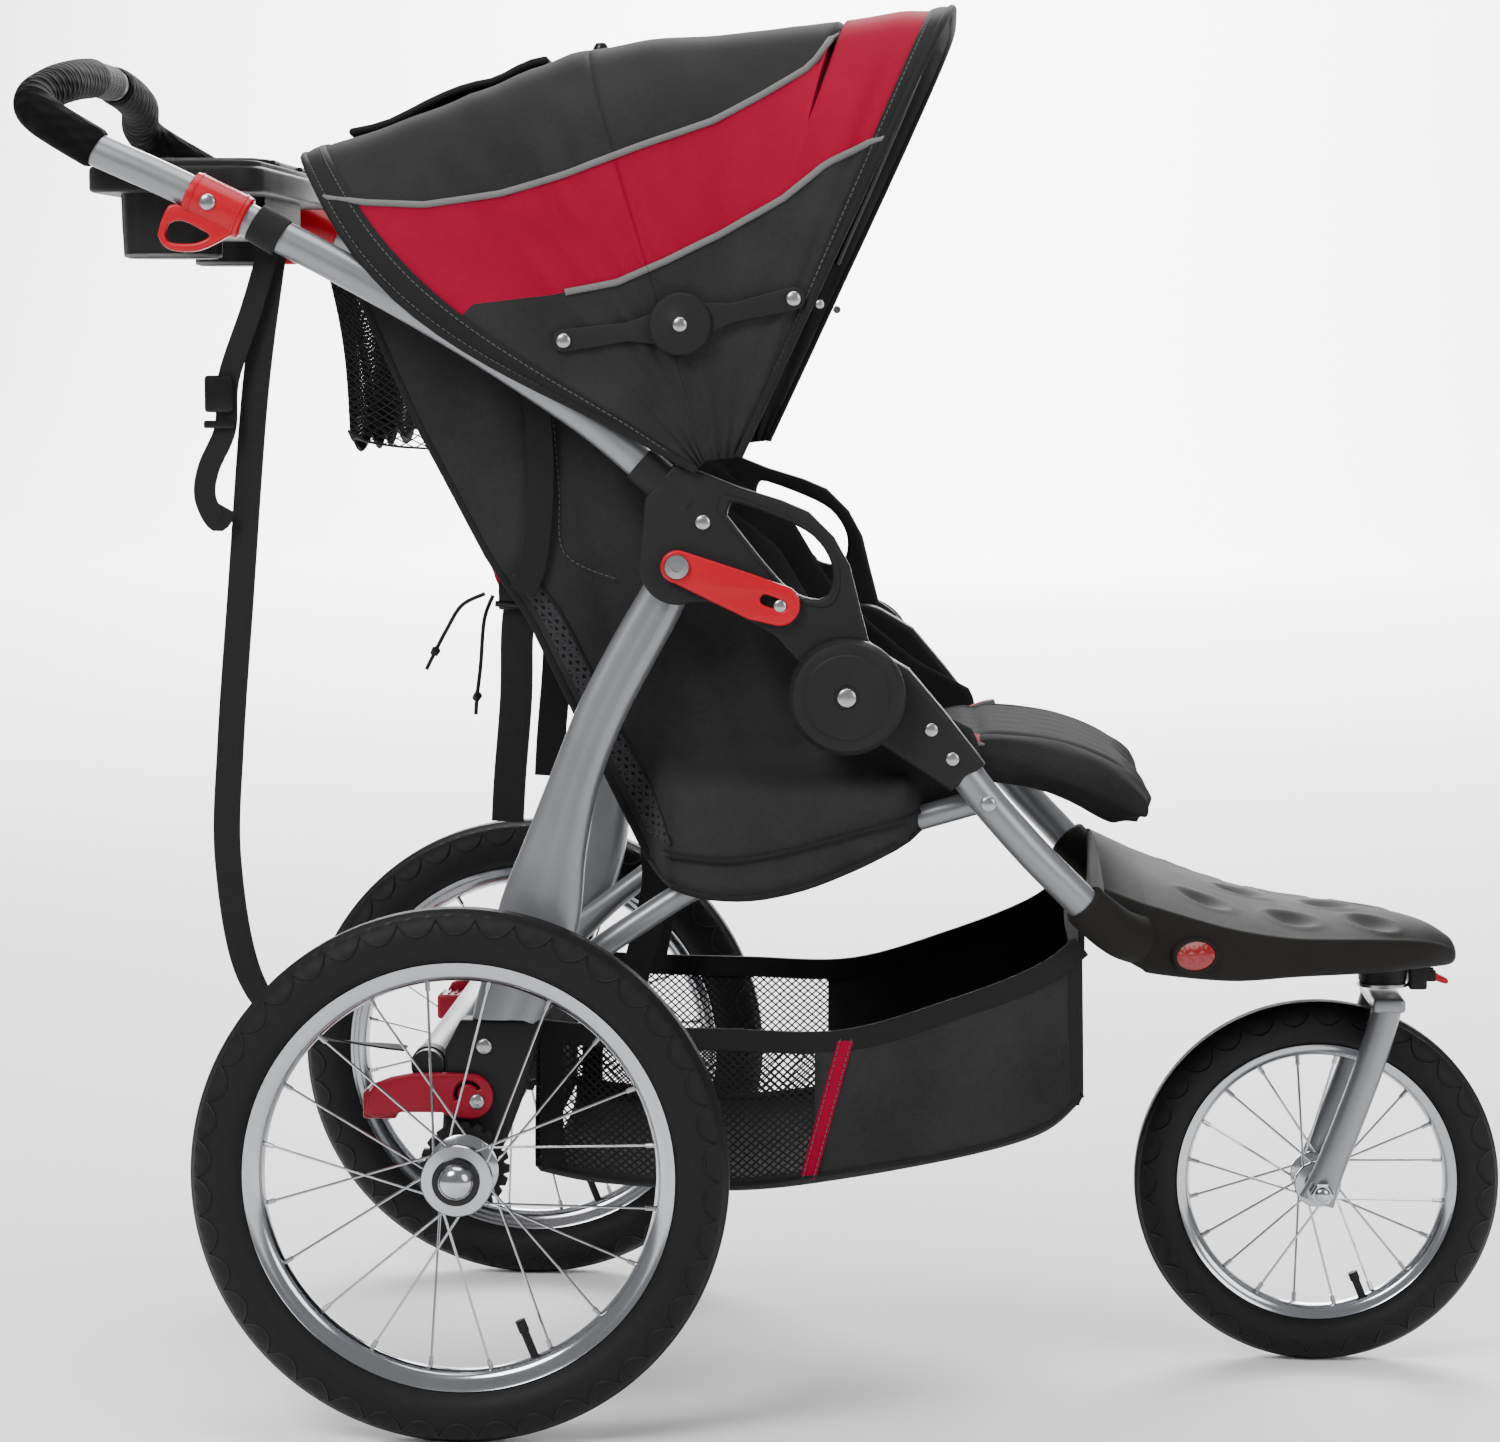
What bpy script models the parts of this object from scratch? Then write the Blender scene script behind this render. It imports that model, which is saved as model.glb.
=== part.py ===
# Jogging stroller: three air-tyred wheels, folding tube frame, reclining seat, hood and basket.
# Metres, +Z up, +X forward, +Y to the rider's left. "r" is the right side (-Y), "l" the left side.
import math

import bmesh
import bpy
from mathutils import Matrix, Vector

# ---- driving dimensions -------------------------------------------------------------------
SHIFT = -0.2347          # rear axle stands this far from the middle of the overall length
REAR_R = 0.2025          # rear wheel, 16 inch
FRONT_R = 0.147          # front wheel, 12 inch
WHEELBASE = 0.665
HALF_TRACK = 0.290
GAP = 0.0003             # air between touching pieces
TUBE_R = 0.0128          # handle tube
FRONT_TUBE_R = 0.0130
LINK_R = 0.0095
HANDLE_Y = 0.2415        # side planes of the frame, from the middle
FRONT_Y = 0.2280
LINK_Y = 0.2040
DISC = (0.289, 0.561)    # fold pivot (x, z)
DISC_R = 0.044
LEG_TOP = (0.162, 0.658)  # pivot of the rear leg
LINK_FRONT = (0.395, 0.479)
SEAT_PIVOT = (0.146, 0.437)
HOOD_PIVOT = (0.183, 0.736)
SWIVEL_X = 0.717
HOOD_W = 0.2585
SPOKES = 20

for old in list(bpy.data.objects):
    bpy.data.objects.remove(old, do_unlink=True)
model = bpy.data.collections.new("jogging_stroller")
cutters = bpy.data.collections.new("cutters")
bpy.context.scene.collection.children.link(model)
bpy.context.scene.collection.children.link(cutters)


def paint(name, colour, roughness, metallic=0.0):
    m = bpy.data.materials.new(name)
    m.use_nodes = True
    bsdf = m.node_tree.nodes["Principled BSDF"]
    bsdf.inputs["Base Color"].default_value = (*colour, 1)
    bsdf.inputs["Roughness"].default_value = roughness
    bsdf.inputs["Metallic"].default_value = metallic
    return m


SILVER = paint("silver_paint", (0.32, 0.33, 0.35), 0.35, 0.6)
BLACK = paint("black_plastic", (0.02, 0.02, 0.02), 0.4)
DECK = paint("deck_plastic", (0.05, 0.048, 0.045), 0.6)
RED = paint("red_plastic", (0.75, 0.03, 0.03), 0.35)
CHROME = paint("chrome", (0.8, 0.8, 0.82), 0.12, 1.0)
RUBBER = paint("tyre_rubber", (0.018, 0.018, 0.02), 0.75)
FOAM = paint("grip_foam", (0.025, 0.025, 0.025), 0.85)
CLOTH = paint("black_cloth", (0.022, 0.022, 0.024), 0.9)
WEB = paint("webbing", (0.02, 0.02, 0.02), 0.8)
LENS = paint("reflector_red", (0.5, 0.01, 0.01), 0.15)


def at(x, y, z):
    return Vector((x + SHIFT, y, z))


def place(obj, material, where=model):
    for c in list(obj.users_collection):
        c.objects.unlink(obj)
    where.objects.link(obj)
    obj.data.materials.clear()
    obj.data.materials.append(material)
    if where is cutters:
        obj.hide_render = True
        obj.display_type = "WIRE"
    return obj


def from_bmesh(name, bm, material, where=model, origin=(0, 0, 0)):
    bmesh.ops.recalc_face_normals(bm, faces=bm.faces)
    if all(len(e.link_faces) == 2 for e in bm.edges) and bm.calc_volume(signed=True) < 0:
        bmesh.ops.reverse_faces(bm, faces=bm.faces)
    bmesh.ops.translate(bm, vec=-Vector(origin), verts=bm.verts)
    mesh = bpy.data.meshes.new(name)
    bm.to_mesh(mesh)
    bm.free()
    obj = bpy.data.objects.new(name, mesh)
    obj.location = origin
    bpy.context.scene.collection.objects.link(obj)
    return place(obj, material, where)


def as_mesh(obj):
    """The curve as a plain closed mesh with its caps welded."""
    bpy.context.view_layer.update()
    done = bpy.data.meshes.new_from_object(obj.evaluated_get(bpy.context.evaluated_depsgraph_get()))
    bm = bmesh.new()
    bm.from_mesh(done)
    bmesh.ops.remove_doubles(bm, verts=bm.verts, dist=1e-6)
    bmesh.ops.recalc_face_normals(bm, faces=bm.faces)
    bm.to_mesh(done)
    bm.free()
    new = bpy.data.objects.new(obj.name + "_m", done)
    bpy.context.scene.collection.objects.link(new)
    new.matrix_world = obj.matrix_world
    name, where, stuff = obj.name, obj.users_collection[0], obj.data.materials[0]
    bpy.data.objects.remove(obj, do_unlink=True)
    new.name = name
    return place(new, stuff, where)


def smooth(points, steps=4):
    """Catmull-Rom curve through the points."""
    p = [Vector(q) for q in points]
    p = [2 * p[0] - p[1], *p, 2 * p[-1] - p[-2]]
    out = []
    for i in range(1, len(p) - 2):
        for k in range(steps):
            t = k / steps
            a, b, c, d = p[i - 1:i + 3]
            out.append(0.5 * (2 * b + (c - a) * t + (2 * a - 5 * b + 4 * c - d) * t * t
                              + (3 * b - a - 3 * c + d) * t ** 3))
    out.append(p[-2])
    return out


def tube(name, points, radius, material, sides=3, where=model, origin=(0, 0, 0)):
    """Round bar through world points; sides is the bevel resolution."""
    curve = bpy.data.curves.new(name, "CURVE")
    curve.dimensions = "3D"
    curve.bevel_depth = radius
    curve.bevel_resolution = sides
    curve.use_fill_caps = True
    spline = curve.splines.new("POLY")
    spline.points.add(len(points) - 1)
    for sp, q in zip(spline.points, points):
        sp.co = (*(Vector(q) - Vector(origin)), 1)
    obj = bpy.data.objects.new(name, curve)
    obj.location = origin
    bpy.context.scene.collection.objects.link(obj)
    return place(obj, material, where)


def plate(name, outlines, y0, y1, material, where=model, pivot=(0, 0)):
    """Flat piece in a side plane: x, z outlines, the first one outside and the rest holes."""
    curve = bpy.data.curves.new(name, "CURVE")
    curve.dimensions = "2D"
    curve.fill_mode = "BOTH"
    curve.extrude = abs(y1 - y0) / 2
    for pts in outlines:
        spline = curve.splines.new("POLY")
        spline.points.add(len(pts) - 1)
        for sp, (x, z) in zip(spline.points, pts):
            sp.co = (x - pivot[0], z - pivot[1], 0, 1)
        spline.use_cyclic_u = True
    obj = bpy.data.objects.new(name, curve)
    obj.rotation_euler = (math.pi / 2, 0, 0)
    obj.location = at(pivot[0], (y0 + y1) / 2, pivot[1])
    bpy.context.scene.collection.objects.link(obj)
    return place(obj, material, where)


def turned(name, profile, steps, centre, side, material, where=model):
    """Turned piece about an axle along Y; profile rows are (radius, distance outwards)."""
    mesh = bpy.data.meshes.new(name)
    closed = min(r for r, _ in profile) > 1e-6
    loop = zip(profile, [*profile[1:], profile[0]])
    if sum(a[0] * b[1] - b[0] * a[1] for a, b in loop) > 0:
        profile = profile[::-1]
    edges = [(i, i + 1) for i in range(len(profile) - 1)]
    if closed:
        edges.append((len(profile) - 1, 0))
    mesh.from_pydata([(r, 0, h) for r, h in profile], edges, [])
    obj = bpy.data.objects.new(name, mesh)
    screw = obj.modifiers.new("turn", "SCREW")
    screw.steps = screw.render_steps = steps
    screw.use_merge_vertices = True
    screw.merge_threshold = 0.00001
    obj.rotation_euler = (math.pi / 2 if side < 0 else -math.pi / 2, 0, 0)
    obj.location = centre
    bpy.context.scene.collection.objects.link(obj)
    return place(obj, material, where)


def upright(name, profile, steps, centre, material, where=model):
    obj = turned(name, profile, steps, centre, -1, material, where)
    obj.rotation_euler = (0, 0, 0)
    return obj


def block(name, x, y, z, material, bevel=0.0, where=model, origin=None):
    """Box between world limits, with chamfered edges."""
    bm = bmesh.new()
    bmesh.ops.create_cube(bm, size=1)
    mid = Vector(((x[0] + x[1]) / 2 + SHIFT, (y[0] + y[1]) / 2, (z[0] + z[1]) / 2))
    bmesh.ops.scale(bm, vec=(x[1] - x[0], y[1] - y[0], z[1] - z[0]), verts=bm.verts)
    if bevel:
        bmesh.ops.bevel(bm, geom=bm.edges[:], offset=bevel, segments=1, affect="EDGES")
    bmesh.ops.translate(bm, vec=mid, verts=bm.verts)
    return from_bmesh(name, bm, material, where, origin or mid)


def loft(name, rings, material, where=model, origin=(0, 0, 0)):
    """Closed solid through rings of equal count."""
    bm = bmesh.new()
    rows = [[bm.verts.new(q) for q in ring] for ring in rings]
    n = len(rings[0])
    for a, b in zip(rows, rows[1:]):
        for i in range(n):
            bm.faces.new((a[i], a[(i + 1) % n], b[(i + 1) % n], b[i]))
    bm.faces.new(rows[0])
    bm.faces.new(rows[-1])
    return from_bmesh(name, bm, material, where, origin)


def bar(name, outline, half_y, material, pivot=(0, 0), corner=0.012):
    """Cushion or pad: an x, z outline across the width, its ends drawn in."""
    cx = sum(x for x, _ in outline) / len(outline)
    cz = sum(z for _, z in outline) / len(outline)
    rings = []
    for y, k in ((-half_y, 0.86), (-half_y + corner, 1), (half_y - corner, 1), (half_y, 0.86)):
        rings.append([at(cx + (x - cx) * (k + 1) / 2, y, cz + (z - cz) * k) for x, z in outline])
    return loft(name, rings, material, origin=at(pivot[0], 0, pivot[1]))


def combine(obj, other, how):
    mod = obj.modifiers.new(how.lower() + "_" + other.name, "BOOLEAN")
    mod.operation = how
    mod.object = other
    mod.solver = "EXACT"
    return obj


def pin(name, x, y0, y1, z, radius, sides=16, where=cutters, material=None):
    """Cylinder along Y."""
    bm = bmesh.new()
    bmesh.ops.create_cone(bm, cap_ends=True, segments=sides, radius1=radius, radius2=radius,
                          depth=abs(y1 - y0))
    bmesh.ops.rotate(bm, matrix=Matrix.Rotation(math.pi / 2, 3, "X"), verts=bm.verts)
    mid = at(x, (y0 + y1) / 2, z)
    bmesh.ops.translate(bm, vec=mid, verts=bm.verts)
    return from_bmesh(name, bm, material or BLACK, where, mid)


def arc(cx, cz, r, a0, a1, n):
    return [(cx + r * math.cos(math.radians(a0 + (a1 - a0) * i / n)),
             cz + r * math.sin(math.radians(a0 + (a1 - a0) * i / n))) for i in range(n + 1)]


def along(outline, start, direction, length):
    return [(x + direction[0] * length, z + direction[1] * length) for x, z in outline]


SIDES = (("r", -1), ("l", 1))

# ---- wheels -------------------------------------------------------------------------------


def tyre(name, centre, outer, seat, half_w, steps):
    mid = (outer + seat) / 2
    profile = [(seat, 0.46 * half_w), (mid - 0.004, half_w * 0.93), (mid + 0.006, half_w),
               (outer - 0.009, 0.80 * half_w), (outer, 0.30 * half_w)]
    profile = profile[::-1] + [(r, -h) for r, h in profile]
    turned(name, [(r, h) for r, h in profile], steps, centre, -1, RUBBER)


def wheel(name, centre, side, rim_in, rim_out, rim_half, hub, flange_r, flange_h, spoke_r):
    obj = turned(name, hub, 20, centre, side, CHROME)
    ring = [(rim_out, rim_half), (rim_out, -rim_half), (rim_in, -rim_half * 0.8),
            (rim_in, rim_half * 0.8)]
    rim = turned(name + "_rim_ring", ring, 36 if rim_out > 0.12 else 32, centre, side, CHROME, cutters)
    bm = bmesh.new()
    for i in range(SPOKES):
        a = 2 * math.pi * (i + 0.5) / SPOKES
        lean = (0.18 if i % 4 < 2 else -0.18) * flange_r * 2
        h = flange_h if i % 2 else -flange_h
        p = Vector((math.cos(a) * flange_r - math.sin(a) * lean * 0.5, 0,
                    math.sin(a) * flange_r + math.cos(a) * lean * 0.5))
        p = p.normalized() * (flange_r * 0.94)
        p.y = h * side
        reach = (rim_in + rim_out) / 2
        q = Vector((math.cos(a) * reach, 0, math.sin(a) * reach))
        made = bmesh.ops.create_cone(bm, cap_ends=True, segments=3, radius1=spoke_r,
                                     radius2=spoke_r, depth=(q - p).length)["verts"]
        turn = Vector((0, 0, 1)).rotation_difference(q - p).to_matrix()
        bmesh.ops.rotate(bm, matrix=turn, verts=made)
        bmesh.ops.translate(bm, vec=(p + q) / 2 + Vector(centre), verts=made)
    spokes = from_bmesh(name + "_spoke_set", bm, CHROME, cutters, centre)
    combine(obj, spokes, "UNION")
    combine(obj, rim, "UNION")
    return obj


HUB_REAR = [(0.0064, 0.0285), (0.0170, 0.0285), (0.0170, 0.0245), (0.0265, 0.0240),
            (0.0265, 0.0200), (0.0140, 0.0180), (0.0140, -0.0180), (0.0265, -0.0200),
            (0.0265, -0.0240), (0.0200, -0.0285), (0.0340, -0.0285), (0.0340, -0.0342),
            (0.0064, -0.0342)]
HUB_FRONT = [(0.0055, 0.0300), (0.0110, 0.0300), (0.0110, 0.0235), (0.0185, 0.0225),
             (0.0185, 0.0190), (0.0100, 0.0170), (0.0100, -0.0170), (0.0185, -0.0190),
             (0.0185, -0.0225), (0.0110, -0.0235), (0.0110, -0.0300), (0.0055, -0.0300)]

for tag, s in SIDES:
    hub_at = at(0, s * HALF_TRACK, REAR_R)
    tyre("rear_tyre_" + tag, hub_at, REAR_R, 0.1606, 0.0230, 36)
    rear = wheel("rear_wheel_" + tag, hub_at, s, 0.1475, 0.1600, 0.0125, HUB_REAR, 0.0250, 0.022,
                 0.0013)
    pin("rear_axle_" + tag, 0, s * 0.2478, s * 0.3175, REAR_R, 0.0060, 12, model, CHROME)
    cap = turned("rear_hub_cap_" + tag, [(0, 0.0385), (0.0070, 0.0372), (0.0125, 0.0330),
                                         (0.0150, 0.0280), (0, 0.0280)], 16, hub_at, s, CHROME,
                 cutters)
    combine(rear, cap, "UNION")
front_at = at(WHEELBASE, 0, FRONT_R)
tyre("front_tyre", front_at, FRONT_R, 0.1115, 0.0210, 32)
wheel("front_wheel", front_at, -1, 0.0976, 0.1110, 0.0105, HUB_FRONT, 0.0175, 0.0207, 0.0012)

# ---- fork and swivel ----------------------------------------------------------------------
fork = block("fork", (0.704, 0.730), (-0.0575, 0.0575), (0.2925, 0.3035), SILVER, 0.003,
             origin=at(SWIVEL_X, 0, 0.298))
for tag, s in SIDES:
    blade = as_mesh(tube("fork_blade_" + tag, [at(x, s * y, z) for x, y, z in (
        (0.7165, 0.0450, 0.2980), (0.708, 0.0455, 0.265), (0.699, 0.0455, 0.237),
        (0.685, 0.0450, 0.198), (0.6675, 0.0450, 0.152), (0.6620, 0.0450, 0.1375))],
        0.0118, SILVER, 2, cutters))
    combine(fork, blade, "UNION")
stem = upright("fork_stem", [(0, 0.0035), (0.012, 0.0035), (0.012, -0.004), (0, -0.004)], 12,
               at(SWIVEL_X, 0, 0.3024), SILVER, cutters)
combine(fork, stem, "UNION")
combine(fork, pin("fork_axle_hole", WHEELBASE, -0.07, 0.07, FRONT_R, 0.0056, 12), "DIFFERENCE")
axle = pin("front_axle", WHEELBASE, -0.0610, 0.0610, FRONT_R, 0.0050, 12, model, CHROME)
for tag, s in SIDES:
    nut = pin("front_nut_" + tag, WHEELBASE, s * 0.0574, s * 0.0650, FRONT_R, 0.0092, 6)
    combine(axle, nut, "UNION")
upright("steering_head", [(0, 0.0108), (0.021, 0.0108), (0.021, 0.004), (0.018, -0.0112),
                          (0, -0.0112)], 16, at(SWIVEL_X, 0, 0.3176), BLACK)
block("swivel_lock_bracket", (0.7390, 0.7520), (-0.0115, 0.0115), (0.3045, 0.3245), BLACK, 0.002)
plate("swivel_lock_lever", [[(0.7535, 0.3130), (0.7560, 0.3122), (0.7680, 0.3085),
                             (0.7690, 0.3125), (0.7620, 0.3160), (0.7580, 0.3185),
                             (0.7535, 0.3180)]],
      -0.0045, 0.0045, RED, pivot=(0.7560, 0.3155))

# ---- footrest -----------------------------------------------------------------------------
FOOT = ((0.4840, 0.2000, 0.4230, 0.3640), (0.5120, 0.1850, 0.4110, 0.3460),
        (0.5250, 0.1780, 0.4060, 0.3400), (0.5850, 0.1520, 0.3860, 0.3310),
        (0.6400, 0.1280, 0.3750, 0.3310), (0.7000, 0.0980, 0.3690, 0.3300),
        (0.7450, 0.0600, 0.3600, 0.3290), (0.7680, 0.0280, 0.3480, 0.3270),
        (0.7740, 0.0150, 0.3400, 0.3300))
rings = []
for x, w, top, low in FOOT:
    drop = 0.013 * min(1, (top - low) / 0.045)
    half = [(0, top), (0.55 * w, top - 0.15 * drop), (w - 0.010, top - drop + 0.003),
            (w, top - drop - 0.005), (w, low + 0.006), (w - 0.008, low)]
    ring = [(y, z) for y, z in half] + [(-y, z) for y, z in half[:0:-1]]
    rings.append([at(x, y, z) for y, z in ring])
loft("footrest", rings, DECK, origin=at(0.6, 0, 0.36))
slope = math.atan2(0.0260, 0.0600)
for tag, s in SIDES:
    bm = bmesh.new()
    bmesh.ops.create_cone(bm, cap_ends=True, segments=20, radius1=0.0195, radius2=0.0165,
                          depth=0.0040)
    bmesh.ops.scale(bm, vec=(1, 0.68, 1), verts=bm.verts)
    turn = Matrix.Rotation(-s * slope, 3, "Z") @ Matrix.Rotation(-s * math.pi / 2, 3, "X")
    bmesh.ops.rotate(bm, matrix=turn, verts=bm.verts)
    out = Vector((math.sin(slope), s * math.cos(slope), 0))
    mid = at(0.555, s * 0.1650, 0.3540) + out * (0.0020 + GAP)
    bmesh.ops.translate(bm, vec=mid, verts=bm.verts)
    from_bmesh("reflector_" + tag, bm, LENS, origin=mid)

# ---- front frame --------------------------------------------------------------------------
for tag, s in SIDES:
    run = [(0.3800, FRONT_Y, 0.4980), (0.3950, FRONT_Y, 0.4790), (0.4150, 0.2270, 0.4560),
           (0.4340, 0.2240, 0.4350), (0.4540, 0.2185, 0.4145), (0.4725, 0.2120, 0.3955)]
    tube("front_tube_" + tag, smooth([at(x, s * y, z) for x, y, z in run], 2), FRONT_TUBE_R,
         SILVER)
    d, n = (0.619, -0.785), (0.785, 0.619)
    end = (0.3797, 0.4984)
    hub = arc(*DISC, 0.040, 60, 300, 12)
    sleeve = hub + [(end[0] - n[0] * 0.0165, end[1] - n[1] * 0.0165),
                    (end[0] + n[0] * 0.0165, end[1] + n[1] * 0.0165),
                    (0.3620, 0.5480), (0.3350, 0.5800)]
    plate("hub_sleeve_" + tag, [sleeve], s * 0.2150, s * 0.2418, BLACK, pivot=DISC)
    turned("hub_disc_" + tag, [(0, 0.0130), (0.0330, 0.0130), (0.0400, 0.0105), (DISC_R, 0.0045),
                               (DISC_R, 0), (0, 0)], 24, at(DISC[0], s * 0.2560, DISC[1]), s, BLACK)

# ---- armrest brackets and latches ---------------------------------------------------------
OUTER = ([(0.1593, 0.7340), (0.1790, 0.7290), (0.2090, 0.7170), (0.2400, 0.7075),
          (0.2600, 0.6990), (0.2790, 0.6800), (0.2910, 0.6580), (0.2970, 0.6330)]
         + [(0.3050, 0.6020)] + arc(*DISC, 0.0430, 55, -215, 14)
         + [(0.2350, 0.6060), (0.2050, 0.6230), (0.1850, 0.6310)]
         + arc(*LEG_TOP, 0.0290, -70, -180, 5)
         + [(0.1355, 0.6850), (0.1377, 0.7090)])
LOOP = [(0.1990, 0.6960), (0.2010, 0.7030), (0.2080, 0.7050), (0.2420, 0.6925), (0.2630, 0.6810),
        (0.2750, 0.6650), (0.2780, 0.6500), (0.2740, 0.6370), (0.2620, 0.6340), (0.2400, 0.6460)]
for tag, s in SIDES:
    bracket = as_mesh(plate("armrest_bracket_" + tag, [OUTER, LOOP], s * 0.2425, s * 0.2555,
                            BLACK))
    boss = plate("bracket_boss_" + tag, [[(0.1593, 0.7340), (0.1750, 0.7280), (0.1830, 0.7150),
                                          (0.1700, 0.7000), (0.1500, 0.6960), (0.1377, 0.7090)]],
                 s * 0.2285, s * 0.2500, BLACK, cutters)
    combine(bracket, as_mesh(boss), "UNION")
    tip = (0.2385, 0.6295)
    lever = (arc(*LEG_TOP, 0.0105, 70, 250, 6)
             + [(0.1900, 0.6310), (0.2150, 0.6190)] + arc(*tip, 0.0155, -110, 60, 7)
             + [(0.2150, 0.6540)])
    slot = arc(0.2280, 0.6335, 0.0048, 70, 250, 4) + arc(0.2440, 0.6275, 0.0048, -110, 70, 4)
    plate("frame_latch_" + tag, [lever, slot], s * 0.2560, s * 0.2635, RED, pivot=LEG_TOP)

# ---- handle -------------------------------------------------------------------------------
right = [(0.1464, HANDLE_Y, 0.7233), (0.1100, HANDLE_Y, 0.7550), (0.0730, HANDLE_Y, 0.7820),
         (0.0000, HANDLE_Y, 0.8290), (-0.0880, HANDLE_Y, 0.8790), (-0.1560, HANDLE_Y, 0.9137),
         (-0.2240, HANDLE_Y, 0.9465), (-0.2780, 0.2405, 0.9705), (-0.3050, 0.2370, 0.9870),
         (-0.3220, 0.2270, 0.9990), (-0.3265, 0.2090, 1.0080), (-0.3230, 0.1880, 1.0155),
         (-0.3180, 0.1580, 1.0225), (-0.3160, 0.1000, 1.0295), (-0.3170, 0.0400, 1.0340)]
rail = [(x, -y, z) for x, y, z in right] + [(-0.3175, 0, 1.0345)]
rail += [(x, y, z) for x, y, z in right[::-1]]
RAIL = smooth([at(*q) for q in rail], 1)
tube("handlebar", RAIL, TUBE_R, SILVER, 2)
for tag, s in SIDES:
    path = [q for q in RAIL if q.y * s > 0.105 and q.x - SHIFT < -0.277]
    core = as_mesh(tube("grip_bore_" + tag, RAIL, TUBE_R + 0.0004, FOAM, 2, cutters))
    grip = as_mesh(tube("grip_" + tag, path, 0.0160, FOAM, 2))
    combine(grip, core, "DIFFERENCE")

# finger-pull releases, sliding on the straight run of the side tubes
UP = Vector((-0.068, 0, 0.0328)).normalized()
for tag, s in SIDES:
    mid = at(-0.1830, s * HANDLE_Y, 0.9267)
    body = as_mesh(tube("fold_release_" + tag, [mid - UP * 0.0235, mid + UP * 0.0235], 0.0172,
                        RED, 3))
    loop = [(-0.2270, 0.9050), (-0.2230, 0.9180), (-0.2130, 0.9280), (-0.1760, 0.9120),
            (-0.1700, 0.9070), (-0.1800, 0.9000), (-0.1960, 0.8930), (-0.2130, 0.8925),
            (-0.2230, 0.8970)]
    hole = [(-0.2215, 0.9050), (-0.2180, 0.9135), (-0.2080, 0.9150), (-0.1960, 0.9095),
            (-0.1880, 0.9040), (-0.1980, 0.8990), (-0.2110, 0.8985), (-0.2190, 0.9000)]
    pull = as_mesh(plate("release_loop_" + tag, [loop, hole], s * 0.2440, s * 0.2530, RED, cutters))
    combine(body, pull, "UNION")
    bore = as_mesh(tube("release_bore_" + tag, [mid - UP * 0.06, mid + UP * 0.06],
                        TUBE_R + 0.0011, RED, 3, cutters))
    combine(body, bore, "DIFFERENCE")

# ---- parent tray --------------------------------------------------------------------------
tray = block("parent_tray", (-0.2900, -0.1560), (-0.2200, 0.2200), (0.9380, 0.9620), BLACK, 0.006)
CUP_X, CUP_Y = -0.2330, 0.155
for tag, s in SIDES:
    cup = upright("tray_cup_" + tag, [(0, 0.020), (0.0390, 0.020), (0.0390, 0), (0.0370, -0.0500),
                                      (0, -0.0500)], 20, at(CUP_X, s * CUP_Y, 0.9390), BLACK,
                  cutters)
    combine(tray, cup, "UNION")
well = block("tray_well", (-0.2650, -0.1720), (-0.0930, 0.0930), (0.9080, 0.9500), BLACK, 0.004,
             cutters)
combine(tray, well, "UNION")
for tag, s in SIDES:
    hollow = upright("cup_hollow_" + tag, [(0, 0.040), (0.0360, 0.040), (0.0345, -0.0465),
                                           (0, -0.0465)], 20, at(CUP_X, s * CUP_Y, 0.9390),
                     BLACK, cutters)
    combine(tray, hollow, "DIFFERENCE")
combine(tray, block("well_hollow", (-0.2610, -0.1760), (-0.0890, 0.0890), (0.9115, 0.9900), BLACK,
                    0.003, cutters), "DIFFERENCE")
block("tray_lid", (-0.2680, -0.1680), (-0.0960, 0.0960), (0.9624, 0.9680), BLACK, 0.002,
      origin=at(-0.1680, 0, 0.9650))

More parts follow.
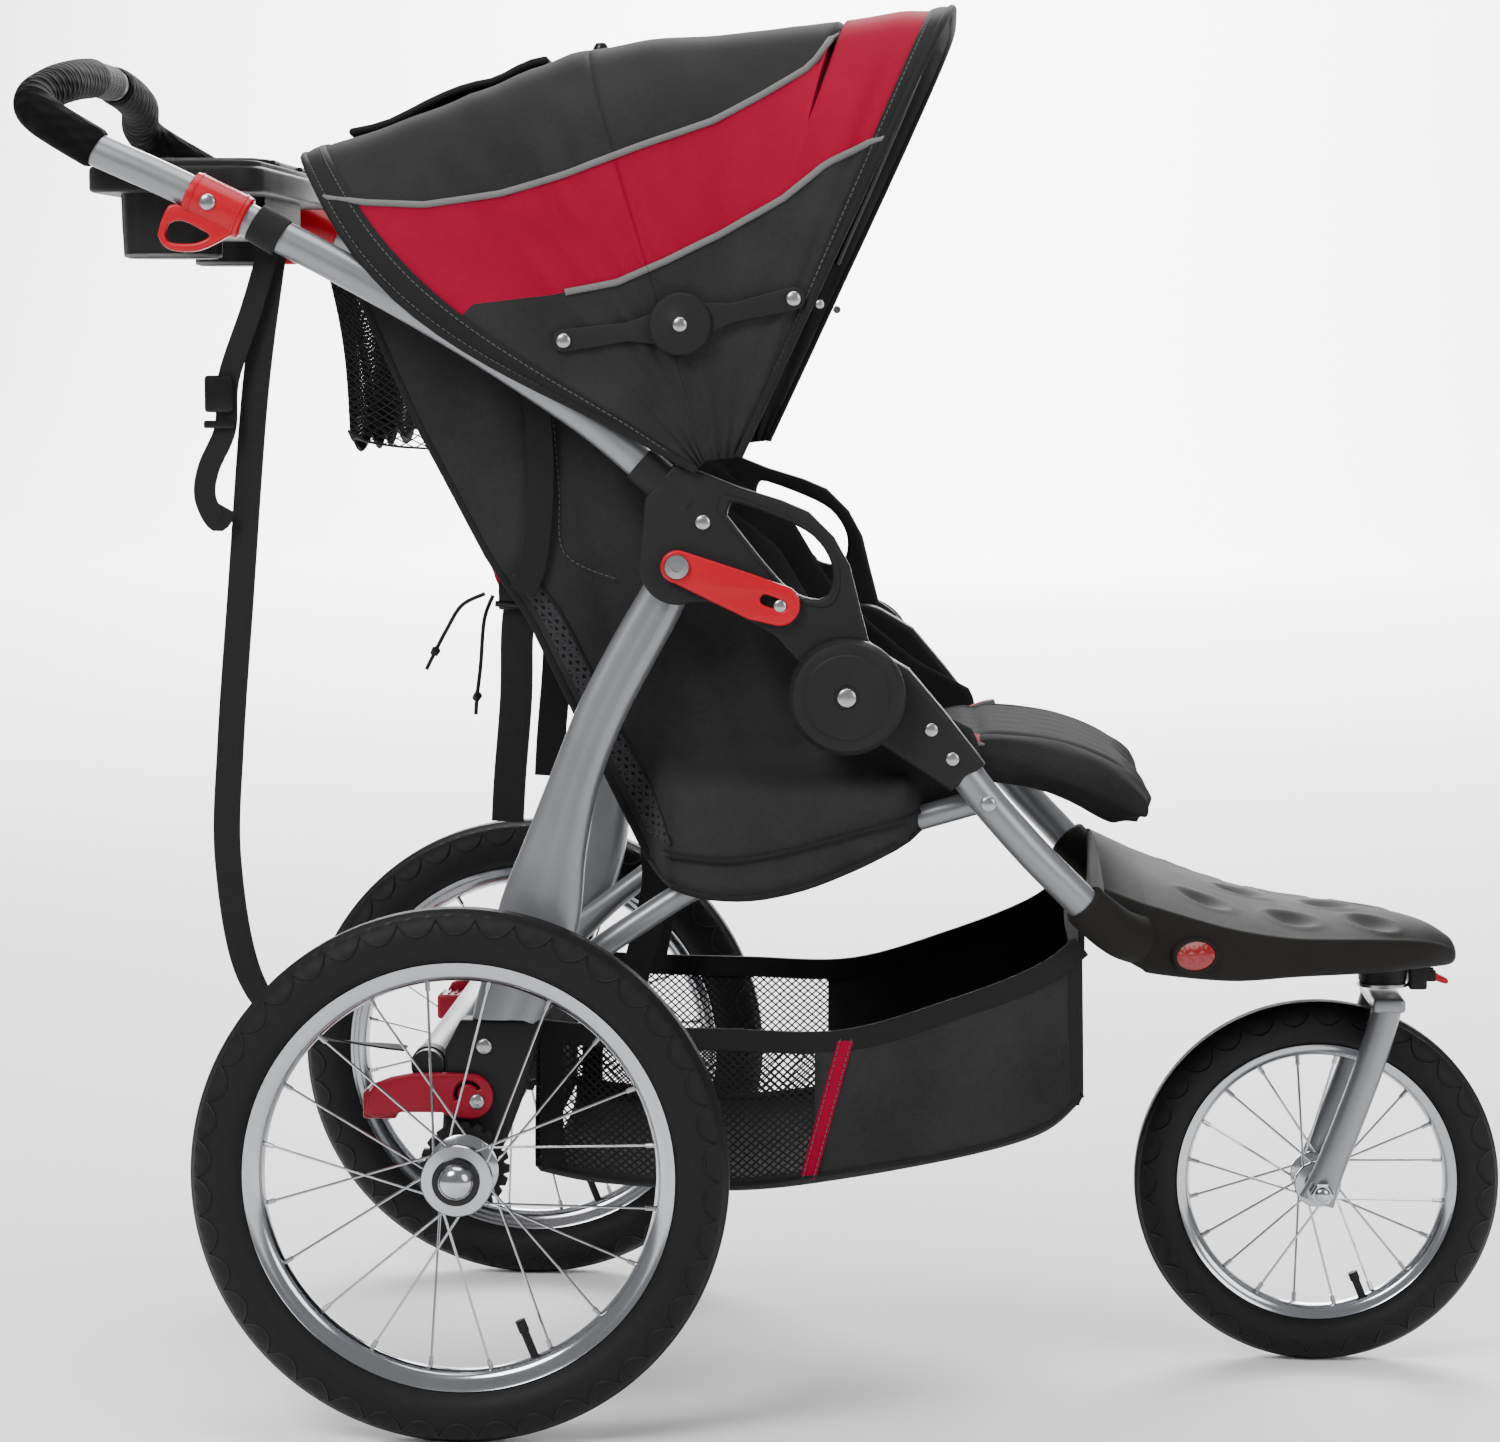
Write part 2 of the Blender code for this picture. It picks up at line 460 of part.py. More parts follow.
# ---- rear legs, brackets, brakes ----------------------------------------------------------
LEG = ((0.1700, 0.6700, 0.0100, 0.2285, 0.0128), (0.1610, 0.6560, 0.0155, 0.2285, 0.0132),
       (0.1460, 0.6270, 0.0180, 0.2285, 0.0132), (0.1240, 0.5880, 0.0185, 0.2290, 0.0135),
       (0.1020, 0.5450, 0.0185, 0.2300, 0.0140), (0.0830, 0.4960, 0.0190, 0.2315, 0.0145),
       (0.0680, 0.4450, 0.0240, 0.2330, 0.0145), (0.0560, 0.3960, 0.0310, 0.2345, 0.0145),
       (0.0440, 0.3500, 0.0300, 0.2355, 0.0145), (0.0300, 0.3135, 0.0260, 0.2360, 0.0145))
for tag, s in SIDES:
    rings = []
    for i, (x, z, a, y, b) in enumerate(LEG):
        p, q = LEG[max(i - 1, 0)], LEG[min(i + 1, len(LEG) - 1)]
        t = Vector((q[0] - p[0], q[1] - p[1])).normalized()
        across = Vector((-t.y, t.x)) if i < len(LEG) - 1 else Vector((1, 0))
        if across.x < 0:
            across = -across
        ring = []
        for k in range(12):
            c, w = math.cos(2 * math.pi * k / 12), math.sin(2 * math.pi * k / 12)
            c, w = math.copysign(abs(c) ** 0.7, c), math.copysign(abs(w) ** 0.7, w)
            ring.append(at(x + across.x * a * c, s * y + b * w, z + across.y * a * c))
        rings.append(ring)
    loft("rear_leg_" + tag, rings, SILVER, origin=at(*[LEG_TOP[0], 0, LEG_TOP[1]]))
    shoe = ([(-0.0040, 0.3130), (0.0580, 0.3130), (0.0480, 0.2700), (0.0300, 0.2200)]
            + arc(0, REAR_R, 0.0200, -10, -170, 6) + [(-0.0165, 0.2450), (-0.0160, 0.2900)])
    plate("axle_bracket_" + tag, [shoe], s * 0.2215, s * 0.2475, BLACK)
    pedal = ([(-0.0750, 0.2400), (-0.0700, 0.2620), (-0.0410, 0.2730), (-0.0180, 0.2735)]
             + arc(0.0040, 0.2555, 0.0175, 80, -90, 6) + [(-0.0180, 0.2430), (-0.0480, 0.2430)])
    arm = as_mesh(plate("brake_pedal_" + tag, [pedal], s * 0.2480, s * 0.2550, RED,
                        pivot=(0.0090, 0.2550)))
    pad = block("pedal_pad_" + tag, (-0.0785, -0.0525), (s * 0.2356 - 0.0160, s * 0.2356 + 0.0160),
                (0.2372, 0.2585), RED, 0.002, cutters)
    combine(arm, pad, "UNION")
tube("rear_cross_tube", [at(-0.0296, -0.2450, 0.2770), at(-0.0296, 0.2450, 0.2770)], 0.0125,
     SILVER)

# ---- lower links and seat bars ------------------------------------------------------------
for tag, s in SIDES:
    run = [(0.3950, 0.4790), (0.3500, 0.4660), (0.2900, 0.4490), (0.2080, 0.4250),
           (0.1700, 0.4090), (0.1350, 0.3870), (0.0850, 0.3520), (0.0320, 0.3070)]
    tube("link_tube_" + tag, smooth([at(x, s * LINK_Y, z) for x, z in run], 2), LINK_R, SILVER,
         origin=at(LINK_FRONT[0], 0, LINK_FRONT[1]))
for name, x, z in (("seat_bar_front", 0.3050, 0.4530), ("seat_bar_rear", 0.1950, 0.4190)):
    tube(name, [at(x, -0.1895, z), at(x, 0.1895, z)], 0.0070, SILVER, 2)

# ---- seat ---------------------------------------------------------------------------------
BASE = [(0.1620, 0.4300), (0.1800, 0.4285), (0.2500, 0.4480), (0.3300, 0.4720), (0.4010, 0.4920),
        (0.3980, 0.4965), (0.3720, 0.5030), (0.3500, 0.5100), (0.3300, 0.5090),
        (0.2500, 0.4840), (0.1800, 0.4640), (0.1620, 0.4560)]
bar("seat_base", BASE, 0.1880, CLOTH, LINK_FRONT)
FLAP = [(0.4120, 0.4990), (0.4300, 0.5010), (0.4600, 0.4980), (0.4820, 0.4870), (0.4950, 0.4680),
        (0.5000, 0.4470), (0.5120, 0.4410), (0.5240, 0.4520), (0.5260, 0.4800), (0.5130, 0.5080),
        (0.4900, 0.5250), (0.4600, 0.5340), (0.4300, 0.5350), (0.4120, 0.5310)]
bar("calf_pad", FLAP, 0.1850, CLOTH)
lean = math.radians(116.4)
d, n = (math.cos(lean), math.sin(lean)), (math.sin(lean), -math.cos(lean))
BACK = arc(*SEAT_PIVOT, 0.0145, 26.4 - 180, 26.4, 6)[::-1]


def back_point(u, v):
    return (SEAT_PIVOT[0] + d[0] * u + n[0] * v, SEAT_PIVOT[1] + d[1] * u + n[1] * v)


BACK = [back_point(0.0, -0.0145), back_point(0.200, -0.0145), back_point(0.395, -0.0120),
        back_point(0.405, -0.0020), back_point(0.395, 0.0100), back_point(0.200, 0.0165),
        back_point(0.060, 0.0160), back_point(0.0, 0.0145), back_point(-0.0115, 0.0080),
        back_point(-0.0145, 0), back_point(-0.0115, -0.0080)]
bar("seat_back", BACK, 0.1830, CLOTH, SEAT_PIVOT)
PANEL = [(-0.0850, 0.8600), (-0.0370, 0.7580), (0.0150, 0.6600), (0.0460, 0.6140),
         (0.0910, 0.5220), (0.1370, 0.4300), (0.1800, 0.4130), (0.2160, 0.4080), (0.2530, 0.4180),
         (0.2910, 0.4340), (0.3280, 0.4550), (0.3850, 0.4810), (0.3920, 0.5000), (0.3850, 0.5300),
         (0.3400, 0.5500), (0.3000, 0.5800), (0.2620, 0.6250), (0.2350, 0.6700), (0.1850, 0.7050),
         (0.1100, 0.7550), (0.0000, 0.8290)]
for tag, s in SIDES:
    plate("side_panel_" + tag, [PANEL], s * 0.1900, s * 0.1925, CLOTH)

# ---- basket -------------------------------------------------------------------------------
RIMS = ((0.0480, 0.1860, 0.3000, 0.1750), (0.1000, 0.1900, 0.2960, 0.1660),
        (0.1940, 0.1900, 0.2940, 0.1600), (0.2860, 0.1900, 0.2940, 0.1720),
        (0.3770, 0.1900, 0.3210, 0.1880), (0.4380, 0.1900, 0.3460, 0.2080),
        (0.4680, 0.1860, 0.3680, 0.2330))
BASKET = []
for k, inset, lift in ((0, 0.0, 0.0), (1, 0.0030, 0.06)):
    rings = []
    for i, (x, w, top, low) in enumerate(RIMS):
        x += inset if i == 0 else -inset if i == len(RIMS) - 1 else 0
        w -= inset
        low += inset
        half = [(w, top + lift), (w, low + 0.03), (w - 0.03, low)]
        rings.append([at(x, y, z) for y, z in half + [(-y, z) for y, z in half[::-1]]])
    BASKET.append(loft("basket" if k == 0 else "basket_hollow", rings, CLOTH,
                       model if k == 0 else cutters, at(0.26, 0, 0.24)))
combine(BASKET[0], BASKET[1], "DIFFERENCE")

# ---- hood ---------------------------------------------------------------------------------
# Ribs from the rear hem to the front edge: foot (x, z) beside the pivot and crown (x, z) on top
REAR_RIB = ((0.1760, 0.7300), (-0.1340, 0.9690))
MID_RIB = ((0.1840, 0.7370), (0.0880, 1.0500))
FRONT_RIB = ((0.2080, 0.7400), (0.3680, 1.0850))
CROWN = ((0.0, -0.1340, 0.9690), (0.25, -0.0700, 0.9960), (0.5, -0.0100, 1.0240),
         (0.75, 0.0420, 1.0400), (1.0, 0.0880, 1.0500), (1.25, 0.1650, 1.0650),
         (1.5, 0.2450, 1.0790), (1.75, 0.3240, 1.0850), (2.0, 0.3680, 1.0850))


def rib(t, inset=0.0, steps=18):
    """Hood section at t, 0 at the rear hem, 1 at the middle bow, 2 at the front edge."""
    a, b = (REAR_RIB, MID_RIB) if t <= 1 else (MID_RIB, FRONT_RIB)
    k = t if t <= 1 else t - 1
    foot = Vector(a[0]) * (1 - k) + Vector(b[0]) * k
    i = min(int(t / 0.25), 7)
    w = t / 0.25 - i
    crown = Vector(CROWN[i][1:]) * (1 - w) + Vector(CROWN[i + 1][1:]) * w
    rise = crown - foot
    long = rise.length
    rise = rise / long
    long, wide, power = long - inset, HOOD_W - inset, 6.0
    out = []
    for j in range(steps + 1):
        f = math.pi * j / steps
        c, q = -math.cos(f), math.sin(f)
        y = math.copysign(abs(c) ** (2 / power), c) * wide
        r = abs(q) ** (2 / power) * long if 0 < j < steps else 0
        out.append(at(foot.x + rise.x * r, y, foot.y + rise.y * r))
    return out


def cloth_shell(name, t0, t1, rows, thick=0.0020):
    """Open hood surface with its thickness on the inside."""
    bm = bmesh.new()
    grid = [[bm.verts.new(q) for q in rib(t0 + (t1 - t0) * i / rows)] for i in range(rows + 1)]
    for a, b in zip(grid, grid[1:]):
        for i in range(len(a) - 1):
            bm.faces.new((a[i], a[i + 1], b[i + 1], b[i]))
    mesh_obj = from_bmesh(name, bm, CLOTH, origin=at(HOOD_PIVOT[0], 0, HOOD_PIVOT[1]))
    up = sum((p.normal.z * p.area for p in mesh_obj.data.polygons))
    solid = mesh_obj.modifiers.new("cloth", "SOLIDIFY")
    solid.thickness = thick
    solid.offset = -1 if up > 0 else 1
    return mesh_obj


cloth_shell("hood_rear", 0.0, 0.996, 4)
cloth_shell("hood_front", 1.004, 2.0, 4)
for name, t in (("hood_bow_rear", 0.16), ("hood_bow_mid", 1.0), ("hood_bow_front", 1.93)):
    tube(name, rib(t, 0.0090)[1:-1], 0.0035, BLACK, 1,
         origin=at(HOOD_PIVOT[0], 0, HOOD_PIVOT[1]))
KNEE_A, KNEE_E, KNEE_B = (0.0780, 0.8260), (0.1650, 0.8380), (0.2490, 0.8570)
for tag, s in SIDES:
    for name, p, q, y0, y1 in (("hood_strut_rear_", KNEE_A, KNEE_E, 0.2606, 0.2630),
                               ("hood_strut_front_", KNEE_B, KNEE_E, 0.2634, 0.2658)):
        a = math.degrees(math.atan2(q[1] - p[1], q[0] - p[0]))
        shape = arc(*p, 0.0085, a + 90, a + 270, 6) + arc(*q, 0.0100, a - 90, a + 90, 6)
        strut = as_mesh(plate(name + tag, [shape], s * y0, s * y1, BLACK, pivot=p))
    knob = turned("hood_knob_" + tag, [(0, 0.0060), (0.0190, 0.0060), (0.0235, 0.0035),
                                       (0.0235, -0.0010), (0, -0.0010)], 20,
                  at(KNEE_E[0], s * 0.2656, KNEE_E[1]), s, BLACK, cutters)
    combine(strut, knob, "UNION")

# ---- tether strap -------------------------------------------------------------------------
run = [(-0.1400, 0.2120, 0.8850), (-0.1620, 0.2120, 0.7800), (-0.1740, 0.2120, 0.6340),
       (-0.1830, 0.2120, 0.5200), (-0.1860, 0.2120, 0.4300), (-0.1700, 0.2120, 0.3400),
       (-0.1200, 0.2120, 0.2950), (-0.0500, 0.2120, 0.2850)]
pts = smooth([at(x, -y, z) for x, y, z in run], 2)
bm = bmesh.new()
rows = []
for i, q in enumerate(pts):
    t = (pts[min(i + 1, len(pts) - 1)] - pts[max(i - 1, 0)]).normalized()
    up = Vector((-t.z, 0, t.x)) * 0.0008
    wide = Vector((0, 0.0125, 0))
    rows.append([bm.verts.new(q + e) for e in (up + wide, up - wide, -up - wide, -up + wide)])
for a, b in zip(rows, rows[1:]):
    for i in range(4):
        bm.faces.new((a[i], a[(i + 1) % 4], b[(i + 1) % 4], b[i]))
bm.faces.new(rows[0])
bm.faces.new(rows[-1])
from_bmesh("tether_strap", bm, WEB, origin=pts[0])
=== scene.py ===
import math

import bmesh
import bpy
from mathutils import Matrix, Vector
from mathutils.bvhtree import BVHTree


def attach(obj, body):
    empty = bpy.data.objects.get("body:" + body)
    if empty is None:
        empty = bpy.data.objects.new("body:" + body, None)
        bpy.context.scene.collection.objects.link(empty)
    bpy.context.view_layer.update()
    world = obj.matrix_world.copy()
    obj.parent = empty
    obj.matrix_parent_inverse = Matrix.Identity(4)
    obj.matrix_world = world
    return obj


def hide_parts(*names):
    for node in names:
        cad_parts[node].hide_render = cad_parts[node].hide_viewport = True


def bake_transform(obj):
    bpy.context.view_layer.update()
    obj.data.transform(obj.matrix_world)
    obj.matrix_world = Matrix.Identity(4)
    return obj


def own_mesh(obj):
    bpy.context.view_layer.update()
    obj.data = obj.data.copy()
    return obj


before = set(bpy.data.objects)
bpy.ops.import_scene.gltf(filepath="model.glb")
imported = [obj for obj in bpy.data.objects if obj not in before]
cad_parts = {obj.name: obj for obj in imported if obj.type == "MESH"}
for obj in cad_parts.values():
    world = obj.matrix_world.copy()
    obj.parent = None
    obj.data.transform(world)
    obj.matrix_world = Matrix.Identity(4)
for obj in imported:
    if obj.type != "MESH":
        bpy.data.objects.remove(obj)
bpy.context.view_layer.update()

# Working coordinates: X from the rear axle; the row frame is centred on the overall length.
SHIFT = -0.2347
SIDES = (("r", -1), ("l", 1))
DISC = (0.289, 0.561)
LEG_TOP = (0.162, 0.658)
REAR_AXLE_Z = 0.2025
FRONT_AXLE = (0.665, 0.147)
CROSS_TUBE = (-0.0296, 0.277)
TUBE_Y = 0.2415


def at(x, y, z):
    """A point given in working coordinates."""
    return Vector((x + SHIFT, y, z))


def side_run(run, y):
    """A line of (x, z) corners, all at the same y."""
    return [at(x, y, z) for x, z in run]


def on_sides(run, s):
    """A line of (x, y, z) points, with y turned to side s."""
    return [at(x, s * y, z) for x, y, z in run]


# ---- camera, floor and light --------------------------------------------------------------
LENS_MM, TILT_DOWN, TURN = 100.15, 5.17, 2.61
cam_data = bpy.data.cameras.new("camera")
cam_data.lens = LENS_MM
cam_data.clip_end = 50
cam = bpy.data.objects.new("camera", cam_data)
cam.location = at(0.358, -3.365, 0.824)
cam.rotation_euler = (math.radians(90 - TILT_DOWN), 0, math.radians(TURN))
bpy.context.scene.collection.objects.link(cam)
bpy.context.scene.camera = cam


def soft_light(name, where, aim, size, power):
    """Round area light at where, turned to aim."""
    data = bpy.data.lights.new(name, "AREA")
    data.shape = "DISK"
    data.size = size
    data.energy = power
    obj = bpy.data.objects.new(name, data)
    obj.location = where
    obj.rotation_euler = (Vector(aim) - Vector(where)).to_track_quat("-Z", "Y").to_euler()
    bpy.context.scene.collection.objects.link(obj)


soft_light("key_light", (-1.8, -2.6, 3.0), (0, 0, 0.4), 1.8, 135)
soft_light("fill_light", (2.6, -2.4, 1.7), (0, 0, 0.5), 2.2, 52)
soft_light("back_light", (0.8, 2.6, 2.8), (0, 0, 0.6), 1.8, 60)
soft_light("top_light", (0.0, -0.2, 3.4), (0, 0, 0), 2.2, 64)
soft_light("backdrop_light", (0.0, 12.4, 5.0), (0, 15.4, 0.8), 5.0, 2400)
soft_light("far_floor_light", (0.0, 7.0, 4.5), (0, 7.4, 0), 6.0, 1500)
world = bpy.data.worlds.new("studio")
world.use_nodes = True
world.node_tree.nodes["Background"].inputs[0].default_value = (0.93, 0.94, 0.96, 1)
world.node_tree.nodes["Background"].inputs[1].default_value = 0.38
bpy.context.scene.world = world


# ---- materials ----------------------------------------------------------------------------
def material(name, color, rough=0.5, metal=0.0, surface="grain", scale=700.0, strength=0.15,
             depth=0.0004, vary=0.12, sheen=0.0, coat=0.0, second=None, shine=0.35):
    """Principled material; its colour and relief vary with the chosen surface pattern."""
    mat = bpy.data.materials.new(name)
    mat.use_nodes = True
    tree = mat.node_tree
    new, link = tree.nodes.new, tree.links.new
    shader = tree.nodes["Principled BSDF"]
    shader.inputs["Metallic"].default_value = metal
    shader.inputs["Coat Weight"].default_value = coat
    shader.inputs["Specular IOR Level"].default_value = 0.5 if metal else shine
    shader.inputs["Coat Roughness"].default_value = 0.12
    shader.inputs["Sheen Weight"].default_value = sheen
    shader.inputs["Sheen Roughness"].default_value = 0.5
    coords = new("ShaderNodeTexCoord")
    place = coords.outputs["Object"]
    cloud = new("ShaderNodeTexNoise")
    cloud.inputs["Scale"].default_value = 22 if surface != "weave" else 14
    cloud.inputs["Detail"].default_value = 6
    link(place, cloud.inputs["Vector"])

    def wave(axis, factor=1.0, distort=0.0):
        """Bands across an axis."""
        node = new("ShaderNodeTexWave")
        node.wave_type = "BANDS"
        node.bands_direction = axis
        node.inputs["Scale"].default_value = scale * factor
        node.inputs["Distortion"].default_value = distort
        link(place, node.inputs["Vector"])
        return node.outputs["Fac"]

    def calc(op, a, b):
        """Math node on two numbers or sockets."""
        node = new("ShaderNodeMath")
        node.operation = op
        for slot, v in zip(node.inputs, (a, b)):
            if isinstance(v, (int, float)):
                slot.default_value = v
            else:
                link(v, slot)
        return node.outputs[0]

    if surface == "weave":
        threads = []
        for stretch in ((1, 1, 0.16), (0.16, 1, 1)):
            turn = new("ShaderNodeMapping")
            turn.inputs["Scale"].default_value = stretch
            link(place, turn.inputs["Vector"])
            yarn = new("ShaderNodeTexNoise")
            yarn.inputs["Scale"].default_value = scale * 4
            yarn.inputs["Detail"].default_value = 2
            link(turn.outputs["Vector"], yarn.inputs["Vector"])
            threads.append(yarn.outputs["Fac"])
        relief = calc("MULTIPLY", calc("ADD", *threads), 0.5)
    elif surface == "mesh":
        relief = calc("MAXIMUM", wave("DIAGONAL"), calc("MAXIMUM", wave("X", 0.7), wave("Z", 0.7)))
    elif surface == "rib":
        relief = calc("ADD", wave("X"), calc("MULTIPLY", wave("Z", 0.5), 0.4))
    elif surface == "zigzag":
        a = calc("MULTIPLY", wave("DIAGONAL", 1.0, 3.0), wave("Y", 0.8))
        relief = calc("ADD", a, calc("MULTIPLY", wave("Z", 0.8), 0.5))
    else:
        grain = new("ShaderNodeTexNoise")
        grain.inputs["Scale"].default_value = scale
        grain.inputs["Detail"].default_value = 3
        link(place, grain.inputs["Vector"])
        relief = grain.outputs["Fac"]
    ramp = new("ShaderNodeValToRGB")
    dark = tuple(c * (1 - vary) for c in color)
    light = tuple(min(1, c * (1 + vary)) for c in color)
    ramp.color_ramp.elements[0].position = 0.3
    ramp.color_ramp.elements[1].position = 0.7
    ramp.color_ramp.elements[0].color = (*dark, 1)
    ramp.color_ramp.elements[1].color = (*light, 1)
    mixed = calc("ADD", calc("MULTIPLY", cloud.outputs["Fac"], 0.6), calc("MULTIPLY", relief, 0.4))
    link(mixed, ramp.inputs["Fac"])
    tone = ramp.outputs["Color"]
    if second:
        pick = new("ShaderNodeMix")
        pick.data_type = "RGBA"
        step = new("ShaderNodeMath")
        step.operation = "GREATER_THAN"
        step.inputs[1].default_value = 0.62
        link(relief, step.inputs[0])
        link(step.outputs[0], pick.inputs["Factor"])
        link(tone, pick.inputs["A"])
        pick.inputs["B"].default_value = (*second, 1)
        tone = pick.outputs["Result"]
    link(tone, shader.inputs["Base Color"])
    spread = new("ShaderNodeMapRange")
    spread.inputs["To Min"].default_value = max(0.02, rough - 0.07)
    spread.inputs["To Max"].default_value = min(1, rough + 0.07)
    link(cloud.outputs["Fac"], spread.inputs["Value"])
    link(spread.outputs["Result"], shader.inputs["Roughness"])
    bump = new("ShaderNodeBump")
    bump.inputs["Strength"].default_value = strength
    bump.inputs["Distance"].default_value = depth
    link(relief, bump.inputs["Height"])
    link(bump.outputs["Normal"], shader.inputs["Normal"])
    mat.diffuse_color = (*color, 1)
    return mat


SILVER = material("silver_paint", (0.215, 0.221, 0.232), 0.36, 0.6, scale=1500, strength=0.05,
                  vary=0.05, coat=0.12)
STEEL = material("zinc_steel", (0.36, 0.36, 0.37), 0.26, 0.95, scale=900, strength=0.06)
CHROME = material("chrome", (0.43, 0.44, 0.46), 0.15, 1.0, scale=300, strength=0.02, vary=0.04)
BLACK = material("black_plastic", (0.013, 0.013, 0.0136), 0.5, scale=1400, strength=0.22,
                 shine=0.14)
GLOSS = material("black_gloss", (0.0055, 0.0055, 0.006), 0.26, scale=900, strength=0.08, shine=0.3)
DECK = material("footrest_plastic", (0.0135, 0.0128, 0.012), 0.62, scale=1200, strength=0.3,
                shine=0.05)
RED = material("red_plastic", (0.4, 0.0022, 0.012), 0.32, scale=800, strength=0.06, coat=0.04,
               shine=0.22)
PEDAL = material("pedal_red", (0.2, 0.0016, 0.013), 0.34, scale=900, strength=0.12, shine=0.22)
LENS = material("reflector_red", (0.2, 0.003, 0.005), 0.14, surface="mesh", scale=55,
                strength=0.5, depth=0.0008, coat=0.4)
FOAM = material("grip_foam", (0.0042, 0.0042, 0.0045), 0.8, surface="zigzag", scale=42,
                strength=0.8, depth=0.0014, vary=0.3, shine=0.06)
TYRE = material("tyre_rubber", (0.0065, 0.0065, 0.007), 0.6, scale=500, strength=0.25, vary=0.2,
                shine=0.18)
RUBBER = material("black_rubber", (0.006, 0.006, 0.006), 0.65, scale=700, strength=0.2, shine=0.25)
CLOTH = material("charcoal_cloth", (0.0205, 0.0205, 0.0212), 0.86, surface="weave", scale=260,
                 strength=0.45, depth=0.0004, vary=0.35, shine=0.1)
PAD = material("seat_cloth", (0.0185, 0.0185, 0.0192), 0.9, surface="weave", scale=230,
               strength=0.5, depth=0.0005, vary=0.35, shine=0.05)
BIND = material("black_binding", (0.0085, 0.0085, 0.009), 0.8, surface="rib", scale=420,
                strength=0.35, vary=0.25, sheen=0.02, shine=0.18)
CRIMSON = material("crimson_cloth", (0.235, 0.0011, 0.02), 0.8, surface="weave", scale=260,
                   strength=0.35, depth=0.0003, vary=0.14, shine=0.1)
PIPING = material("grey_piping", (0.125, 0.125, 0.122), 0.7, surface="rib", scale=300, strength=0.3,
                  shine=0.2)
# Opaque diamond mesh: the grey thread lines are the mesh's own colour; the near-black between them
# is partly the black mesh and partly painted shade of the dark inside seen through the holes.
MESH = material("diamond_mesh_painted_shade", (0.006, 0.006, 0.0068), 0.85, surface="mesh", scale=85,
                strength=0.8, depth=0.0009, vary=0.3, second=(0.03, 0.03, 0.032), shine=0.15)
WEB = material("black_webbing", (0.007, 0.007, 0.0075), 0.75, surface="rib", scale=330,
               strength=0.45, vary=0.3, sheen=0.02, shine=0.2)
THREAD = material("grey_thread", (0.07, 0.07, 0.073), 0.8, surface="rib", scale=600, strength=0.3,
                  shine=0.2)
FLOOR = material("pale_floor", (0.88, 0.88, 0.88), 0.75, scale=60, strength=0.0, vary=0.004,
                 shine=0.1)


# ---- mesh helpers -------------------------------------------------------------------------
def ease(k):
    """Smooth step from 0 to 1."""
    k = max(0, min(1, k))
    return k * k * (3 - 2 * k)


def signed(v, e):
    """Size of v to the power e, with v's sign."""
    return math.copysign(abs(v) ** e, v)


def finish_mesh(name, bm, mat, body, smooth_angle=35, recalc=True):
    """Turn a bmesh into a piece on a body; edges sharper than the angle stay crisp."""
    if recalc:
        bmesh.ops.recalc_face_normals(bm, faces=bm.faces[:])
    if bm.calc_volume(signed=True) < 0:
        bmesh.ops.reverse_faces(bm, faces=bm.faces[:])
    mesh = bpy.data.meshes.new(name)
    bm.to_mesh(mesh)
    bm.free()
    mesh.materials.append(mat)
    mesh.shade_smooth()
    mesh.set_sharp_from_angle(angle=math.radians(smooth_angle))
    obj = bpy.data.objects.new(name, mesh)
    bpy.context.scene.collection.objects.link(obj)
    if body:
        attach(obj, body)
    return obj


def curve_points(points, n):
    """Smooth line through the points, n steps between each two."""
    pts = [Vector(p) for p in points]
    out = []
    for i in range(len(pts) - 1):
        a, b = pts[max(i - 1, 0)], pts[i]
        c, d = pts[i + 1], pts[min(i + 2, len(pts) - 1)]
        for k in range(n):
            t = k / n
            out.append(0.5 * ((2 * b) + (c - a) * t + (2 * a - 5 * b + 4 * c - d) * t * t
                              + (3 * b - a - 3 * c + d) * t ** 3))
    return out + [pts[-1]]


def curve_flat(run, n=6):
    """More points along a line of (x, z) corners."""
    return [(p.x, p.z) for p in curve_points([(x, 0, z) for x, z in run], n)]


def eased(outline):
    """A closed outline with its corners rounded off."""
    return curve_flat(outline + outline[:1], 3)[:-1]


def sweep_into(bm, points, section, up=(0, 1, 0), n=4, closed_ends=True, scale=None,
               loop=False):
    """Carry a flat section (across, up) along a smooth line; up is kept near the given way."""
    path = curve_points(points, n) if n > 1 else [Vector(p) for p in points]
    rows = []
    count = len(path)
    for i, p in enumerate(path):
        a = path[(i - 1) % count] if loop else path[max(i - 1, 0)]
        b = path[(i + 1) % count] if loop else path[min(i + 1, count - 1)]
        t = (b - a).normalized()
        u = Vector(up) if not callable(up) else up(i / (count - 1), p)
        side = t.cross(u).normalized()
        u = side.cross(t).normalized()
        k = scale(i / (count - 1)) if scale else 1.0
        shape = section(i / (count - 1)) if callable(section) else section
        rows.append([bm.verts.new(p + side * (s * k) + u * (h * k)) for s, h in shape])
    pairs = list(zip(rows, rows[1:])) + ([(rows[-1], rows[0])] if loop else [])
    m = len(rows[0])
    for r0, r1 in pairs:
        for j in range(m):
            bm.faces.new((r0[j], r0[(j + 1) % m], r1[(j + 1) % m], r1[j]))
    if closed_ends and not loop:
        bm.faces.new(rows[0])
        bm.faces.new(rows[-1][::-1])


def sweep(name, points, section, mat, body, smooth_angle=40, **more):
    """A swept section as a piece of its own."""
    bm = bmesh.new()
    sweep_into(bm, points, section, **more)
    return finish_mesh(name, bm, mat, body, smooth_angle)


def circle(r, sides=20, squash=1.0):
    """Round section, or an oval one if squash isn't 1."""
    return [(r * math.cos(2 * math.pi * k / sides), r * squash * math.sin(2 * math.pi * k / sides))
            for k in range(sides)]


def flattening(r, sides, start, wide, thin):
    """Round section that gets wider and thinner from start to the end of its run."""
    def section(t):
        k = ease((t - start) / (1 - start))
        return [(x * (1 + wide * k), y * (1 - thin * k)) for x, y in circle(r, sides)]
    return section


